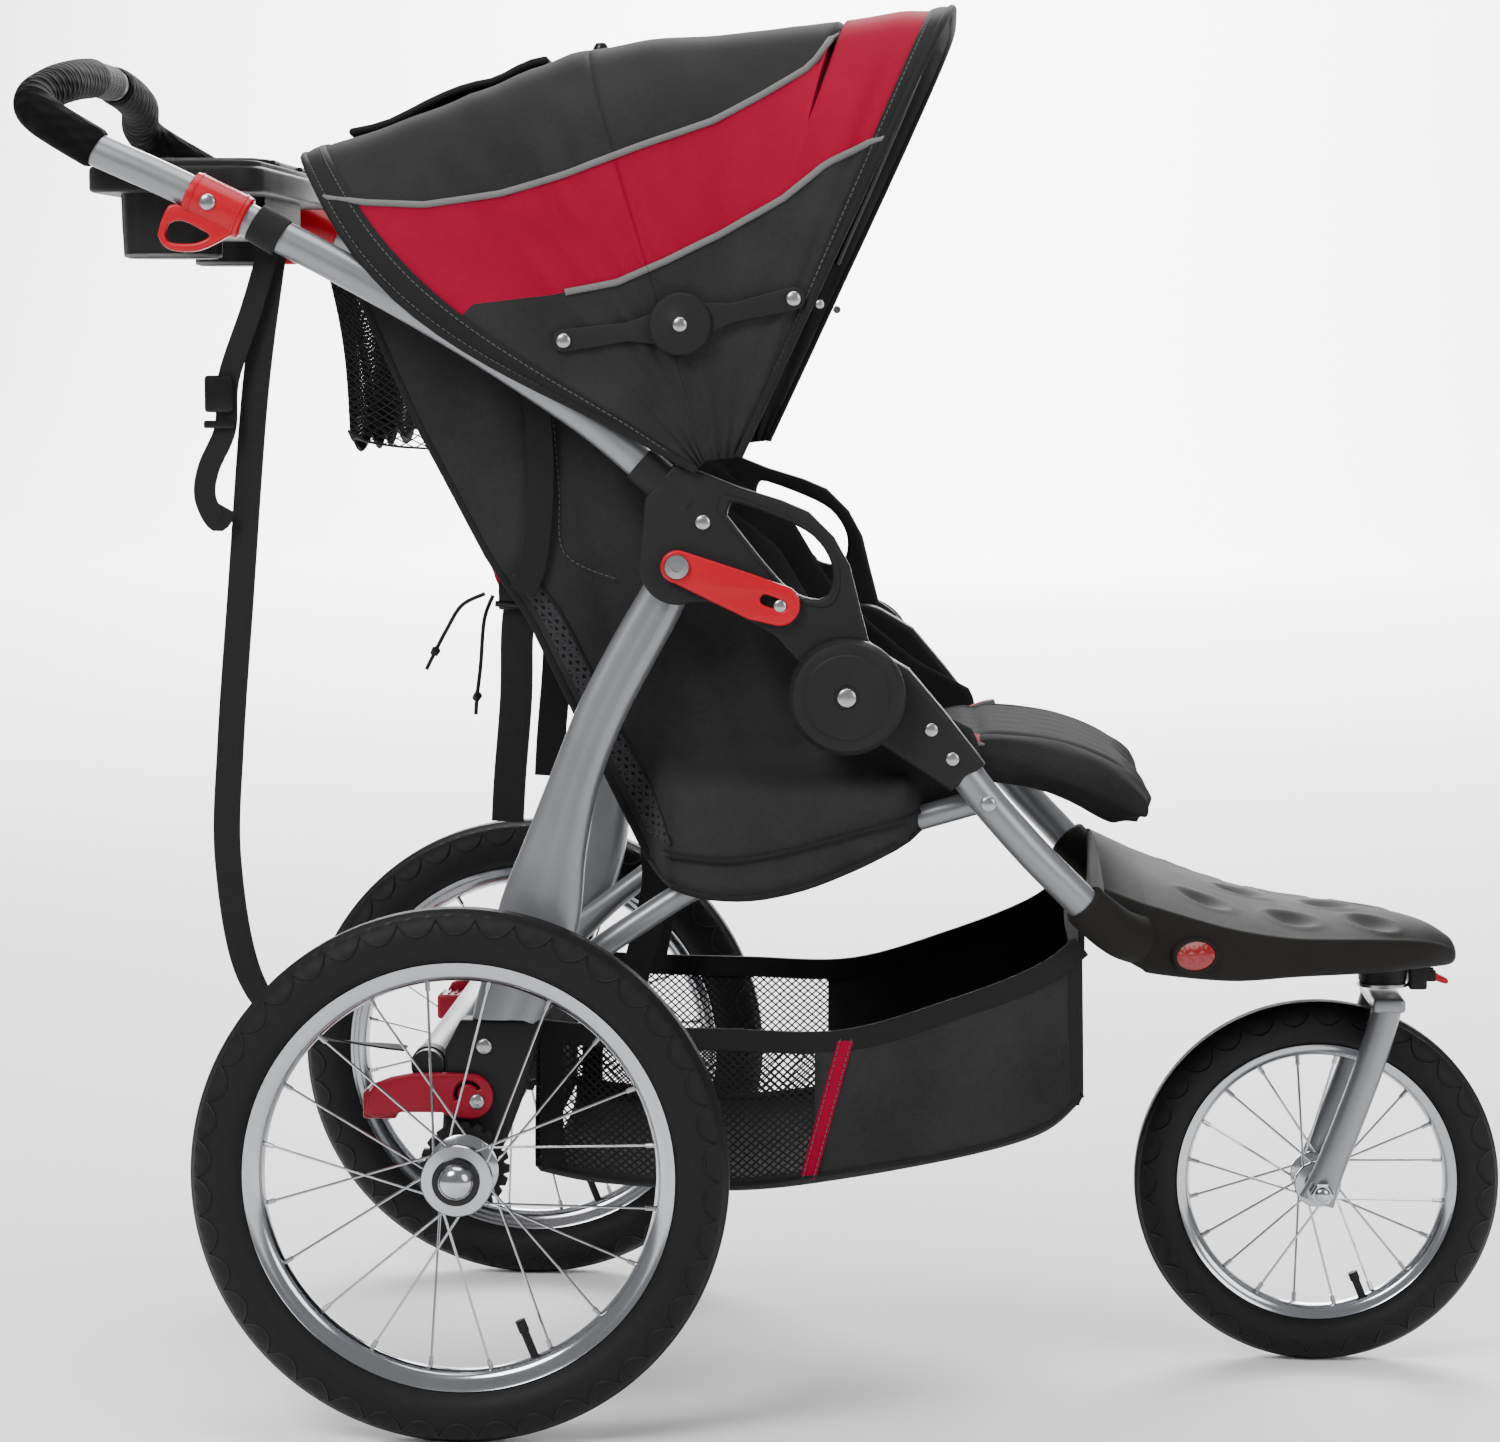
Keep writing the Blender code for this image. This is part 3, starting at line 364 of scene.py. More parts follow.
def flat(width, thick):
    """Section of a strap, with its corners taken off."""
    w, h, e = width / 2, thick / 2, min(thick * 0.35, 0.0004)
    return [(-w + e, -h), (w - e, -h), (w, -h + e), (w, h - e), (w - e, h), (-w + e, h),
            (-w, h - e), (-w, -h + e)]


def tube(name, points, r, mat, body, n=5, sides=24, **more):
    """Round tube along a smooth line."""
    return sweep(name, points, circle(r, sides), mat, body, 50, n=n, **more)


def rod(name, a, b, r, mat, body, sides=24):
    """Straight round rod from a to b."""
    return tube(name, [at(*a), at(*b)], r, mat, body, n=1, sides=sides, up=(0, 0, 1))


def arc(cx, cz, r, a0, a1, n):
    """Points of an arc in the side plane, with its angles in degrees."""
    return [(cx + r * math.cos(math.radians(a0 + (a1 - a0) * i / n)),
             cz + r * math.sin(math.radians(a0 + (a1 - a0) * i / n))) for i in range(n + 1)]


def plate(name, outlines, y0, y1, mat, body, bevel=0.0012, smooth_angle=38, segments=2,
          level=False):
    """Extruded outline with rounded edges, in the side plane or, if level, lying flat."""
    curve = bpy.data.curves.new(name + "_outline", "CURVE")
    curve.dimensions = "2D"
    curve.fill_mode = "BOTH"
    half = abs(y1 - y0) / 2
    curve.extrude = half - bevel
    curve.bevel_depth = bevel
    curve.bevel_resolution = segments
    curve.offset = -bevel
    for pts in outlines:
        spline = curve.splines.new("POLY")
        spline.points.add(len(pts) - 1)
        for sp, (x, z) in zip(spline.points, pts):
            sp.co = (x, z, 0, 1)
        spline.use_cyclic_u = True
    temp = bpy.data.objects.new(name + "_outline", curve)
    bpy.context.scene.collection.objects.link(temp)
    mesh = temp.to_mesh()
    bm = bmesh.new()
    bm.from_mesh(mesh)
    temp.to_mesh_clear()
    bpy.data.objects.remove(temp)
    bmesh.ops.remove_doubles(bm, verts=bm.verts[:], dist=0.00001)
    for v in bm.verts:
        x, z, h = v.co
        v.co = at(x, z, (y0 + y1) / 2 + h) if level else at(x, (y0 + y1) / 2 - h, z)
    return finish_mesh(name, bm, mat, body, smooth_angle)


def lathe_into(bm, profile, centre, side, steps, axis="Y", warp=None):
    """Turn (radius, outward) rows about an axis through the centre."""
    closed = min(row[0] for row in profile) > 1e-6
    rows = []
    for i in range(steps):
        a = 2 * math.pi * i / steps
        row = []
        for j, (r, h) in enumerate(profile):
            if warp:
                r, h = warp(i, j, r, h)
            c, s = math.cos(a) * r, math.sin(a) * r
            off = {"Y": (c, h * side, s), "Z": (c, s, h * side), "X": (h * side, c, s)}[axis]
            row.append(bm.verts.new(Vector(centre) + Vector(off)))
        rows.append(row)
    m = len(profile)
    for i in range(steps):
        a, b = rows[i], rows[(i + 1) % steps]
        for j in range(m if closed else m - 1):
            k = (j + 1) % m
            bm.faces.new((a[j], a[k], b[k], b[j]))
    bmesh.ops.remove_doubles(bm, verts=[v for row in rows for v in row], dist=0.000005)


def lathe(name, profile, centre, side, mat, body, steps=48, axis="Y", smooth_angle=35, warp=None):
    """A turned form as a piece of its own."""
    bm = bmesh.new()
    lathe_into(bm, profile, centre, side, steps, axis, warp)
    return finish_mesh(name, bm, mat, body, smooth_angle)


def turned(name, profile, mat, body, steps, matrix):
    """A form turned about Z at the origin, then carried into place by the matrix."""
    bm = bmesh.new()
    lathe_into(bm, profile, (0, 0, 0), 1, steps, "Z")
    bmesh.ops.transform(bm, matrix=matrix, verts=bm.verts)
    return finish_mesh(name, bm, mat, body)


def dome(r, h, n=5):
    """Profile of a low domed head of radius r standing h proud."""
    top = [(r * math.cos(math.pi / 2 * k / n), h * 0.35 + h * 0.65 * math.sin(math.pi / 2 * k / n))
           for k in range(n + 1)]
    return [(0, -h * 0.4), (r, -h * 0.4)] + top[:-1] + [(0, h)]


def rivet(name, x, y, z, side, body, r, h):
    """Low domed steel head that faces out on its side."""
    return lathe(name, dome(r, h), at(x, y, z), side, STEEL, body, 20)


def slab(name, x, y, z, mat, body, bevel, segments=3):
    """Block with rounded edges between the given pairs of x, y and z."""
    bm = bmesh.new()
    bmesh.ops.create_cube(bm, size=1)
    bmesh.ops.scale(bm, vec=(x[1] - x[0], y[1] - y[0], z[1] - z[0]), verts=bm.verts)
    bmesh.ops.bevel(bm, geom=bm.edges[:], offset=bevel, segments=segments, affect="EDGES",
                    profile=0.6)
    bmesh.ops.translate(bm, vec=at((x[0] + x[1]) / 2, (y[0] + y[1]) / 2, (z[0] + z[1]) / 2),
                        verts=bm.verts)
    return finish_mesh(name, bm, mat, body)


def ring_form(rings):
    """Closed form through rings of equally many points."""
    bm = bmesh.new()
    rows = [[bm.verts.new(q) for q in ring] for ring in rings]
    n = len(rings[0])
    for a, b in zip(rows, rows[1:]):
        for i in range(n):
            bm.faces.new((a[i], a[(i + 1) % n], b[(i + 1) % n], b[i]))
    bm.faces.new(rows[0])
    bm.faces.new(rows[-1][::-1])
    bmesh.ops.recalc_face_normals(bm, faces=bm.faces[:])
    return bm


# ---- floor --------------------------------------------------------------------------------
FLAT_TO, CURVE_R = 13.4, 3.0
cove = [(-14.0, 0.0), (FLAT_TO, 0.0)]
cove += [(FLAT_TO + CURVE_R * math.sin(f), CURVE_R - CURVE_R * math.cos(f))
         for f in [math.pi / 2 * k / 24 for k in range(1, 25)]]
cove += [(FLAT_TO + CURVE_R, 12.0)]
floor = bpy.data.meshes.new("floor")
floor.from_pydata([(x, y, z - 0.0005) for y, z in cove for x in (-16, 16)], [],
                  [(2 * k, 2 * k + 1, 2 * k + 3, 2 * k + 2) for k in range(len(cove) - 1)])
floor.materials.append(FLOOR)
for face in floor.polygons:
    face.use_smooth = True
floor = bpy.data.objects.new("floor", floor)
bpy.context.scene.collection.objects.link(floor)


# ---- handle, grips and releases -----------------------------------------------------------
SIDE_RUN = [(0.1464, 0.2415, 0.7233), (0.11, 0.2415, 0.755), (0.073, 0.2415, 0.782),
            (0.0, 0.2415, 0.829), (-0.088, 0.2415, 0.879), (-0.156, 0.2415, 0.9137),
            (-0.224, 0.2415, 0.9465), (-0.278, 0.2405, 0.9705), (-0.305, 0.237, 0.987),
            (-0.322, 0.227, 0.999), (-0.3265, 0.209, 1.008), (-0.323, 0.188, 1.0155),
            (-0.318, 0.158, 1.0225), (-0.316, 0.1, 1.0295), (-0.317, 0.04, 1.034)]
whole = on_sides(SIDE_RUN, -1) + [at(-0.3175, 0, 1.0345)] + on_sides(SIDE_RUN[::-1], 1)
# a reference way that never lines up with the handle's own direction
HANDLE_UP = (0.35, 0, 1)
handle = tube("handle_tube", whole, 0.0128, SILVER, "upper_frame", up=HANDLE_UP)
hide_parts("handlebar")
for tag, s in SIDES:
    run = [(-0.273, 0.2411, 0.9683)] + SIDE_RUN[8:14] + [(-0.3169, 0.044, 1.0338)]
    grip = tube("foam_grip_" + tag, on_sides(run, s), 0.0158, FOAM, "upper_frame", n=8, sides=28,
                up=HANDLE_UP,
                scale=lambda t: 1 - 0.1 * max(0, 1 - min(t, 1 - t) / 0.02))
    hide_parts("grip_" + tag)
ribbon_turns = bmesh.new()
for k in range(5):
    y = -0.03 + 0.0135 * k
    lathe_into(ribbon_turns, [(0.0132, 0.0062), (0.014, 0.0064), (0.0143, 0), (0.014, -0.0064),
                              (0.0132, -0.0062)], at(-0.3173, y, 1.0342), 1, 28)
finish_mesh("wrist_ribbon_wrap", ribbon_turns, WEB, "upper_frame")

UP = Vector((-0.068, 0, 0.0328)).normalized()
for tag, s in SIDES:
    body = "release_" + tag
    mid = at(-0.183, s * TUBE_Y, 0.9267)
    shell = sweep("release_shell_" + tag,
                  [mid + UP * d for d in (-0.0235, -0.0225, -0.018, 0, 0.018, 0.0225, 0.0235)],
                  circle(0.0172, 36), RED, body, n=1,
                  scale=lambda t: 0.9 if t in (0, 1) else 0.97 if t < 0.2 or t > 0.8 else 1.0)
    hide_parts("fold_release_" + tag)
    loop = eased([(-0.227, 0.905), (-0.223, 0.918), (-0.213, 0.928), (-0.176, 0.912),
                  (-0.17, 0.907), (-0.18, 0.9), (-0.196, 0.893), (-0.213, 0.8925),
                  (-0.223, 0.897)])
    hole = eased([(-0.2215, 0.905), (-0.218, 0.9135), (-0.208, 0.915), (-0.196, 0.9095),
                  (-0.188, 0.904), (-0.198, 0.899), (-0.211, 0.8985), (-0.219, 0.9)])
    plate("release_loop_" + tag, [loop, hole], s * 0.244, s * 0.253, RED, body, 0.0022,
          segments=3)
    rivet("release_rivet_" + tag, -0.188, s * 0.2584, 0.929, s, body, 0.0062, 0.003)
    for k, d in enumerate((-0.0185, 0.0185)):
        ring = [(0.0171, -0.0011), (0.0177, -0.0007), (0.0177, 0.0007), (0.0171, 0.0011)]
        turn = Vector((0, 0, 1)).rotation_difference(UP).to_matrix().to_4x4()
        turned("release_rim_%s_%d" % (tag, k), ring, RED, body, 36,
               Matrix.Translation(mid + UP * d) @ turn)


# ---- parent tray --------------------------------------------------------------------------
def rounded(x0, x1, half, r):
    """Outline of a rectangle with round corners, half wide to each side."""
    out = []
    for cx, cy, a in ((x1 - r, half - r, 0), (x0 + r, half - r, 90), (x0 + r, r - half, 180),
                      (x1 - r, r - half, 270)):
        out += arc(cx, cy, r, a, a + 90, 6)
    return out


CUP_X, CUP_Y = -0.233, 0.155
holes = [rounded(-0.26, -0.177, 0.088, 0.012)]
holes += [arc(CUP_X, s * CUP_Y, 0.0355, 0, 351, 39) for _, s in SIDES]
tray = plate("tray_top", [rounded(-0.29, -0.156, 0.22, 0.03)] + holes, 0.938,
             0.958, BLACK, "upper_frame", 0.0035, level=True, segments=4)
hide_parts("parent_tray")
plate("tray_rim", [rounded(-0.2875, -0.1585, 0.2175, 0.028),
                   rounded(-0.284, -0.162, 0.214, 0.0255)], 0.957, 0.9618, BLACK,
      "upper_frame", 0.001, level=True)
for tag, s in SIDES:
    middle = at(CUP_X, s * CUP_Y, 0.939)

    def flute(i, j, r, h):
        """Shallow upright grooves around the cup."""
        return (r + (0.0007 if i % 6 < 3 else -0.0004) if 2 <= j <= 4 else r), h

    lathe("tray_cup_" + tag, [(0, -0.05), (0.034, -0.05), (0.0368, -0.047),
                              (0.038, -0.025), (0.0386, -0.004), (0.039, 0.018),
                              (0.0375, 0.0205), (0.036, 0.018), (0.0352, -0.02),
                              (0.0345, -0.0465), (0, -0.0465)], middle, 1, BLACK, "upper_frame",
          72, "Z", warp=flute)
    # pale grey ring at the bottom edge of the cup: a painted highlight of the gap there
    lathe("tray_cup_painted_highlight_ring_" + tag, [(0.0366, -0.0492), (0.0374, -0.0484), (0.0376, -0.0468),
                                         (0.0368, -0.0466)], middle, 1, PIPING, "upper_frame", 72,
          "Z")
bm = bmesh.new()
for (x0, x1, y0, y1, z0, z1) in ((-0.265, -0.172, -0.093, 0.093, 0.908, 0.9115),
                                 (-0.265, -0.261, -0.093, 0.093, 0.91, 0.94),
                                 (-0.176, -0.172, -0.093, 0.093, 0.91, 0.94),
                                 (-0.265, -0.172, -0.093, -0.089, 0.91, 0.94),
                                 (-0.265, -0.172, 0.089, 0.093, 0.91, 0.94)):
    made = bmesh.ops.create_cube(bm, size=1)["verts"]
    bmesh.ops.scale(bm, vec=(x1 - x0, y1 - y0, z1 - z0), verts=made)
    bmesh.ops.translate(bm, vec=at((x0 + x1) / 2, (y0 + y1) / 2, (z0 + z1) / 2), verts=made)
bmesh.ops.bevel(bm, geom=bm.edges[:], offset=0.0012, segments=2, affect="EDGES")
finish_mesh("tray_well", bm, BLACK, "upper_frame")
lid = plate("tray_cover", [rounded(-0.268, -0.1685, 0.096, 0.014)], 0.9624, 0.968,
            BLACK, "tray_lid", 0.0016, level=True, segments=3)
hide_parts("tray_lid")
plate("tray_cover_panel", [rounded(-0.26, -0.179, 0.086, 0.01)], 0.9668, 0.9692,
      BLACK, "tray_lid", 0.001, level=True, segments=2)
slab("tray_cover_pull", (-0.271, -0.263), (-0.016, 0.016), (0.964, 0.969), BLACK,
     "tray_lid", 0.0016)
for k, y in enumerate((-0.07, 0.07)):
    rod("tray_hinge_%d" % k, (-0.1668, y - 0.013, 0.9655), (-0.1668, y + 0.013, 0.9655), 0.0022,
        BLACK, "upper_frame", 14)
for tag, s in SIDES:
    sweep("tray_arm_" + tag, [at(-0.21, s * 0.216, 0.942), at(-0.215, s * 0.224, 0.94),
                              at(-0.218, s * 0.229, 0.939)], flat(0.03, 0.006), BLACK,
          "upper_frame", up=(0, 0, 1), n=3)

# ---- armrest brackets, latches and fold hubs ----------------------------------------------
OUTER = ([(0.1593, 0.734), (0.179, 0.729), (0.209, 0.717), (0.24, 0.7075),
          (0.26, 0.699), (0.279, 0.68), (0.291, 0.658), (0.297, 0.633),
          (0.305, 0.602)] + arc(*DISC, 0.043, 55, -215, 30)
         + [(0.235, 0.606), (0.205, 0.623), (0.185, 0.631)]
         + arc(*LEG_TOP, 0.029, -70, -180, 12)
         + [(0.1355, 0.685), (0.1377, 0.709)])
LOOP = [(0.199, 0.696), (0.201, 0.703), (0.208, 0.705), (0.242, 0.6925), (0.263, 0.681),
        (0.275, 0.665), (0.278, 0.65), (0.274, 0.637), (0.262, 0.634), (0.24, 0.646)]


for tag, s in SIDES:
    bracket = plate("armrest_shell_" + tag, [OUTER, eased(LOOP)], s * 0.2425, s * 0.2555, BLACK,
                    "upper_frame", 0.0028, segments=4)
    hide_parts("armrest_bracket_" + tag)
    border = [(x - (0.233 - x) * 0.055, z - (0.668 - z) * 0.055) for x, z in eased(LOOP)]
    rim = [(x - (0.243 - x) * 0.16, z - (0.669 - z) * 0.16) for x, z in eased(LOOP)]
    plate("armrest_loop_rim_" + tag, [rim, border], s * 0.2548, s * 0.2566, BLACK, "upper_frame",
          0.0006)
    run = ((0.17, 0.703), (0.1464, 0.7233), (0.133, 0.7352))
    tube("bracket_socket_" + tag, side_run(run, s * TUBE_Y), 0.015, BLACK, "upper_frame", n=3,
         sides=28)
    rivet("bracket_rivet_" + tag, 0.181, s * 0.2552, 0.691, s, "upper_frame", 0.0058, 0.0028)
    lathe("leg_pivot_bolt_" + tag, [(0, -0.002), (0.0095, -0.002), (0.0095, 0.001),
                                    (0.0088, 0.0022), (0.004, 0.0026), (0.004, 0.0012),
                                    (0, 0.0012)], at(LEG_TOP[0], s * 0.264, LEG_TOP[1]), s, STEEL,
          "upper_frame", 28)
    tip = (0.2385, 0.6295)
    lever = (arc(*LEG_TOP, 0.0125, 70, 262, 14) + [(0.19, 0.631), (0.215, 0.619)]
             + arc(*tip, 0.0155, -110, 60, 14) + [(0.215, 0.654)])
    slot = arc(0.228, 0.6335, 0.004, 70, 250, 8) + arc(0.24, 0.629, 0.004, -110, 70, 8)
    latch = plate("latch_lever_" + tag, [lever, slot], s * 0.256, s * 0.263, RED,
                  "latch_" + tag, 0.002, segments=3)
    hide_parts("frame_latch_" + tag)
    rivet("latch_slot_rivet_" + tag, 0.239, s * 0.261, 0.629, s, "upper_frame", 0.005, 0.0026)
    disc = lathe("hub_cap_" + tag, [(0, 0.0122), (0.009, 0.0122), (0.01, 0.0132),
                                    (0.031, 0.013), (0.0325, 0.0118), (0.0345, 0.0122),
                                    (0.04, 0.0105), (0.0432, 0.0062), (0.044, 0.004),
                                    (0.044, 0.0002), (0, 0.0002)],
                 at(DISC[0], s * 0.256, DISC[1]), s, BLACK, "upper_frame", 96)
    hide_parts("hub_disc_" + tag)
    rivet("hub_bolt_" + tag, DISC[0], s * 0.2682, DISC[1], s, "upper_frame", 0.0072, 0.0026)
    end_x, end_z = 0.3797, 0.4984
    half_x, half_z = 0.785 * 0.0165, 0.619 * 0.0165
    sleeve = (arc(*DISC, 0.04, 60, 300, 28)
              + [(end_x - half_x, end_z - half_z), (end_x + half_x, end_z + half_z),
                 (0.362, 0.548), (0.335, 0.58)])
    sleeve = plate("fold_sleeve_" + tag, [sleeve], s * 0.215, s * 0.2418, BLACK, "front_frame",
                   0.005, segments=5)
    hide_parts("hub_sleeve_" + tag)
    for k, (x, z) in enumerate(((0.352, 0.535), (0.368, 0.513))):
        rivet("sleeve_rivet_%s_%d" % (tag, k), x, s * 0.2416, z, s, "front_frame", 0.0052, 0.0024)

# ---- front tubes, lower links, seat bars --------------------------------------------------
for tag, s in SIDES:
    run = [(0.372, 0.228, 0.508), (0.38, 0.228, 0.498), (0.395, 0.228, 0.479),
           (0.415, 0.227, 0.456), (0.434, 0.224, 0.435), (0.454, 0.2185, 0.4145),
           (0.4725, 0.212, 0.3955), (0.486, 0.205, 0.383), (0.496, 0.1985, 0.375)]
    front = tube("front_strut_" + tag, on_sides(run, s), 0.013, SILVER, "front_frame")
    run = [(0.467, 0.2138, 0.4012), (0.476, 0.2102, 0.3925), (0.486, 0.2045, 0.3835),
           (0.498, 0.195, 0.3745), (0.508, 0.185, 0.37)]
    tube("footrest_socket_" + tag, on_sides(run, s), 0.0172, DECK, "front_frame",
         scale=lambda t: 0.9 + 0.1 * min(1, t / 0.03) + 0.12 * t)
    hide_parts("front_tube_" + tag)
    rivet("link_front_bolt_" + tag, 0.395, s * 0.2405, 0.479, s, "front_frame", 0.006, 0.0028)
    rod("link_spacer_" + tag, (0.395, s * 0.2125, 0.479), (0.395, s * 0.219, 0.479), 0.007,
        BLACK, "front_frame")
    run = [(0.395, 0.479), (0.35, 0.466), (0.29, 0.449), (0.208, 0.425),
           (0.17, 0.409), (0.135, 0.387), (0.085, 0.352), (0.032, 0.307)]
    link = sweep("lower_link_" + tag, side_run(run, s * 0.204),
                 flattening(0.0095, 24, start=0.86, wide=0.35, thin=0.55), SILVER, "seat_frame",
                 50, n=8)
    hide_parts("link_tube_" + tag)
    for k, (x, z) in enumerate(((0.056, 0.327), (0.088, 0.354))):
        rivet("link_rivet_%s_%d" % (tag, k), x, s * (0.2105 + 0.0022 * k), z, s, "seat_frame",
              0.0048, 0.0026)
for name, x, z in (("seat_bar_front", 0.305, 0.453), ("seat_bar_rear", 0.195, 0.419)):
    bar = rod(name + "_rod", (x, -0.1935, z), (x, 0.1935, z), 0.007, SILVER, "seat_frame")
    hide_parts(name)

# ---- rear legs, axle brackets, pedals -----------------------------------------------------
# x, z, half depth, y and half width
LEG = ((0.17, 0.67, 0.01, 0.2285, 0.0128), (0.161, 0.656, 0.0155, 0.2285, 0.0132),
       (0.146, 0.627, 0.018, 0.2285, 0.0132), (0.124, 0.588, 0.0185, 0.229, 0.0135),
       (0.102, 0.545, 0.0185, 0.23, 0.014), (0.083, 0.496, 0.019, 0.2315, 0.0145),
       (0.068, 0.445, 0.024, 0.233, 0.0145), (0.056, 0.396, 0.031, 0.2345, 0.0145),
       (0.044, 0.35, 0.03, 0.2355, 0.0145), (0.03, 0.3135, 0.026, 0.236, 0.0145))


def along(rows, n):
    """Resample a table of numbers with a smooth curve through its rows."""
    out = []
    for i in range(len(rows) - 1):
        a, b = rows[max(i - 1, 0)], rows[i]
        c, d = rows[i + 1], rows[min(i + 2, len(rows) - 1)]
        for k in range(n):
            t = k / n
            out.append([0.5 * (2 * q + (r - p) * t + (2 * p - 5 * q + 4 * r - w) * t * t
                               + (3 * q - p - 3 * r + w) * t ** 3)
                        for p, q, r, w in zip(a, b, c, d)])
    return out + [list(rows[-1])]


leg_rows = along(LEG, 5)
for tag, s in SIDES:
    rings = []
    for i, (x, z, a, y, b) in enumerate(leg_rows):
        p, q = leg_rows[max(i - 1, 0)], leg_rows[min(i + 1, len(leg_rows) - 1)]
        t = Vector((q[0] - p[0], q[1] - p[1])).normalized()
        across = Vector((-t.y, t.x)) if i < len(leg_rows) - 1 else Vector((1, 0))
        if across.x < 0:
            across = -across
        ring = []
        for k in range(48):
            f = 2 * math.pi * k / 48
            c, w = math.cos(f), math.sin(f)
            crease = 0.0016 * math.exp(-((c - 0.15) / 0.07) ** 2) * min(1, i / 6) if w > 0 else 0
            c, w = signed(c, 0.75), signed(w, 0.75)
            ring.append(at(x + across.x * a * c, s * (y + (b * w - crease)),
                           z + across.y * a * c))
        rings.append(ring)
    leg = finish_mesh("rear_leg_tube_" + tag, ring_form(rings), SILVER, "rear_legs", 50)
    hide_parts("rear_leg_" + tag)
    shoe = ([(-0.004, 0.313), (0.058, 0.313), (0.052, 0.285), (0.044, 0.257),
             (0.03, 0.22)] + arc(0, REAR_AXLE_Z, 0.02, -10, -170, 14)
            + [(-0.019, 0.225), (-0.0175, 0.245), (-0.016, 0.29)])
    shoe = plate("axle_shoe_" + tag, [shoe], s * 0.2215, s * 0.2475, BLACK, "rear_legs", 0.0045,
                 segments=5)
    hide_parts("axle_bracket_" + tag)
    rivet("shoe_bolt_" + tag, 0.014, s * 0.2474, 0.293, s, "rear_legs", 0.0062, 0.003)
    rod("axle_stub_" + tag, (0, s * 0.247, REAR_AXLE_Z), (0, s * 0.256, REAR_AXLE_Z), 0.0115,
        STEEL, "rear_legs")
    shaft = rod("axle_shaft_" + tag, (0, s * 0.2478, REAR_AXLE_Z), (0, s * 0.317, REAR_AXLE_Z),
                0.006, STEEL, "rear_legs")
    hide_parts("rear_axle_" + tag)

    pedal = ([(-0.076, 0.242), (-0.074, 0.256), (-0.069, 0.265), (-0.056, 0.27),
              (-0.041, 0.273), (-0.018, 0.2735)]
             + arc(0.004, 0.2555, 0.0175, 80, -90, 14)
             + [(-0.012, 0.24), (-0.018, 0.243), (-0.048, 0.243), (-0.068, 0.2385)])
    cut = (arc(0.002, 0.257, 0.0105, 25, 205, 12)
           + arc(0.002, 0.257, 0.008, 205, 25, 12))
    arm = plate("pedal_arm_" + tag, [pedal, cut], s * 0.2484, s * 0.255, PEDAL, "pedal_" + tag,
                0.0022, segments=3)
    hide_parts("brake_pedal_" + tag)
    rivet("pedal_bolt_" + tag, 0.009, s * 0.2546, 0.252, s, "rear_legs", 0.0058, 0.003)
    slab("pedal_pad_" + tag, (-0.0785, -0.0525), (s * 0.2356 - 0.016, s * 0.2356 + 0.016),
         (0.2372, 0.2585), PEDAL, "pedal_" + tag, 0.0034, 4)
    for k in range(4):
        x = -0.075 + 0.0062 * k
        rod("pedal_ridge_%s_%d" % (tag, k), (x, s * 0.224, 0.2587), (x, s * 0.248, 0.2587),
            0.0012, PEDAL, "pedal_" + tag, 10)
cross_x, cross_z = CROSS_TUBE
cross = rod("cross_tube_bar", (cross_x, -0.245, cross_z), (cross_x, 0.245, cross_z), 0.0125,
            SILVER, "rear_legs")
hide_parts("rear_cross_tube")
for tag, s in SIDES:
    lathe("cross_tube_end_" + tag, [(0, 0.0018), (0.0085, 0.0018), (0.0105, 0.0008),
                                    (0.0124, 0.0001), (0, 0.0001)],
          at(cross_x, s * 0.245, cross_z), s, BLACK, "rear_legs", 32)
    ends = [at(cross_x, s * y, cross_z) for y in (0.219, 0.235)]
    sweep("cross_clamp_" + tag, ends, circle(0.0138, 32), BLACK, "rear_legs", up=(0, 0, 1), n=1)

# ---- fork, steering head, swivel lock -----------------------------------------------------
crown = slab("fork_crown", (0.704, 0.73), (-0.0575, 0.0575), (0.2925, 0.3035), SILVER, "fork",
             0.004, 4)
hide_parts("fork")
axle_x, axle_z = FRONT_AXLE
for tag, s in SIDES:
    run = ((0.7168, 0.0448, 0.301), (0.715, 0.0452, 0.29), (0.708, 0.0455, 0.265),
           (0.699, 0.0455, 0.237), (0.685, 0.045, 0.198), (0.6675, 0.045, 0.152),
           (0.662, 0.045, 0.1375))
    sweep("fork_blade_" + tag, on_sides(run, s),
          flattening(0.0118, 28, start=0.72, wide=0.25, thin=0.55), SILVER, "fork", 50, n=6)
    lathe("axle_washer_" + tag, [(0.0052, 0), (0.011, 0), (0.0112, 0.0008), (0.0108, 0.0018),
                                 (0.0052, 0.0018)], at(axle_x, s * 0.0505, axle_z), s, STEEL,
          "fork", 32)
    nut = [(0, 0.0068), (0.008, 0.0068), (0.0095, 0.0056), (0.0095, 0), (0, 0)]
    lathe("axle_nut_" + tag, nut, at(axle_x, s * 0.0578, axle_z), s, CHROME, "fork", 6,
          smooth_angle=20)
    lathe("axle_nut_dome_" + tag, dome(0.0062, 0.005), at(axle_x, s * 0.0636, axle_z), s, CHROME,
          "fork", 24)
shaft = rod("front_axle_shaft", (axle_x, -0.061, axle_z), (axle_x, 0.061, axle_z), 0.005,
            STEEL, "fork")
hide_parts("front_axle")
head = lathe("head_cup", [(0, 0.0108), (0.0175, 0.0108), (0.02, 0.0095), (0.021, 0.007),
                          (0.021, 0.004), (0.0196, -0.002), (0.0196, -0.005),
                          (0.018, -0.0112), (0, -0.0112)], at(0.717, 0, 0.3176), 1, BLACK,
             "front_frame", 64, "Z")
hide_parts("steering_head")
lathe("head_ring", [(0.0184, 0.0014), (0.0206, 0.0014), (0.0208, 0), (0.0206, -0.0014),
                    (0.0184, -0.0014)], at(0.717, 0, 0.308), 1, STEEL, "front_frame", 64, "Z")
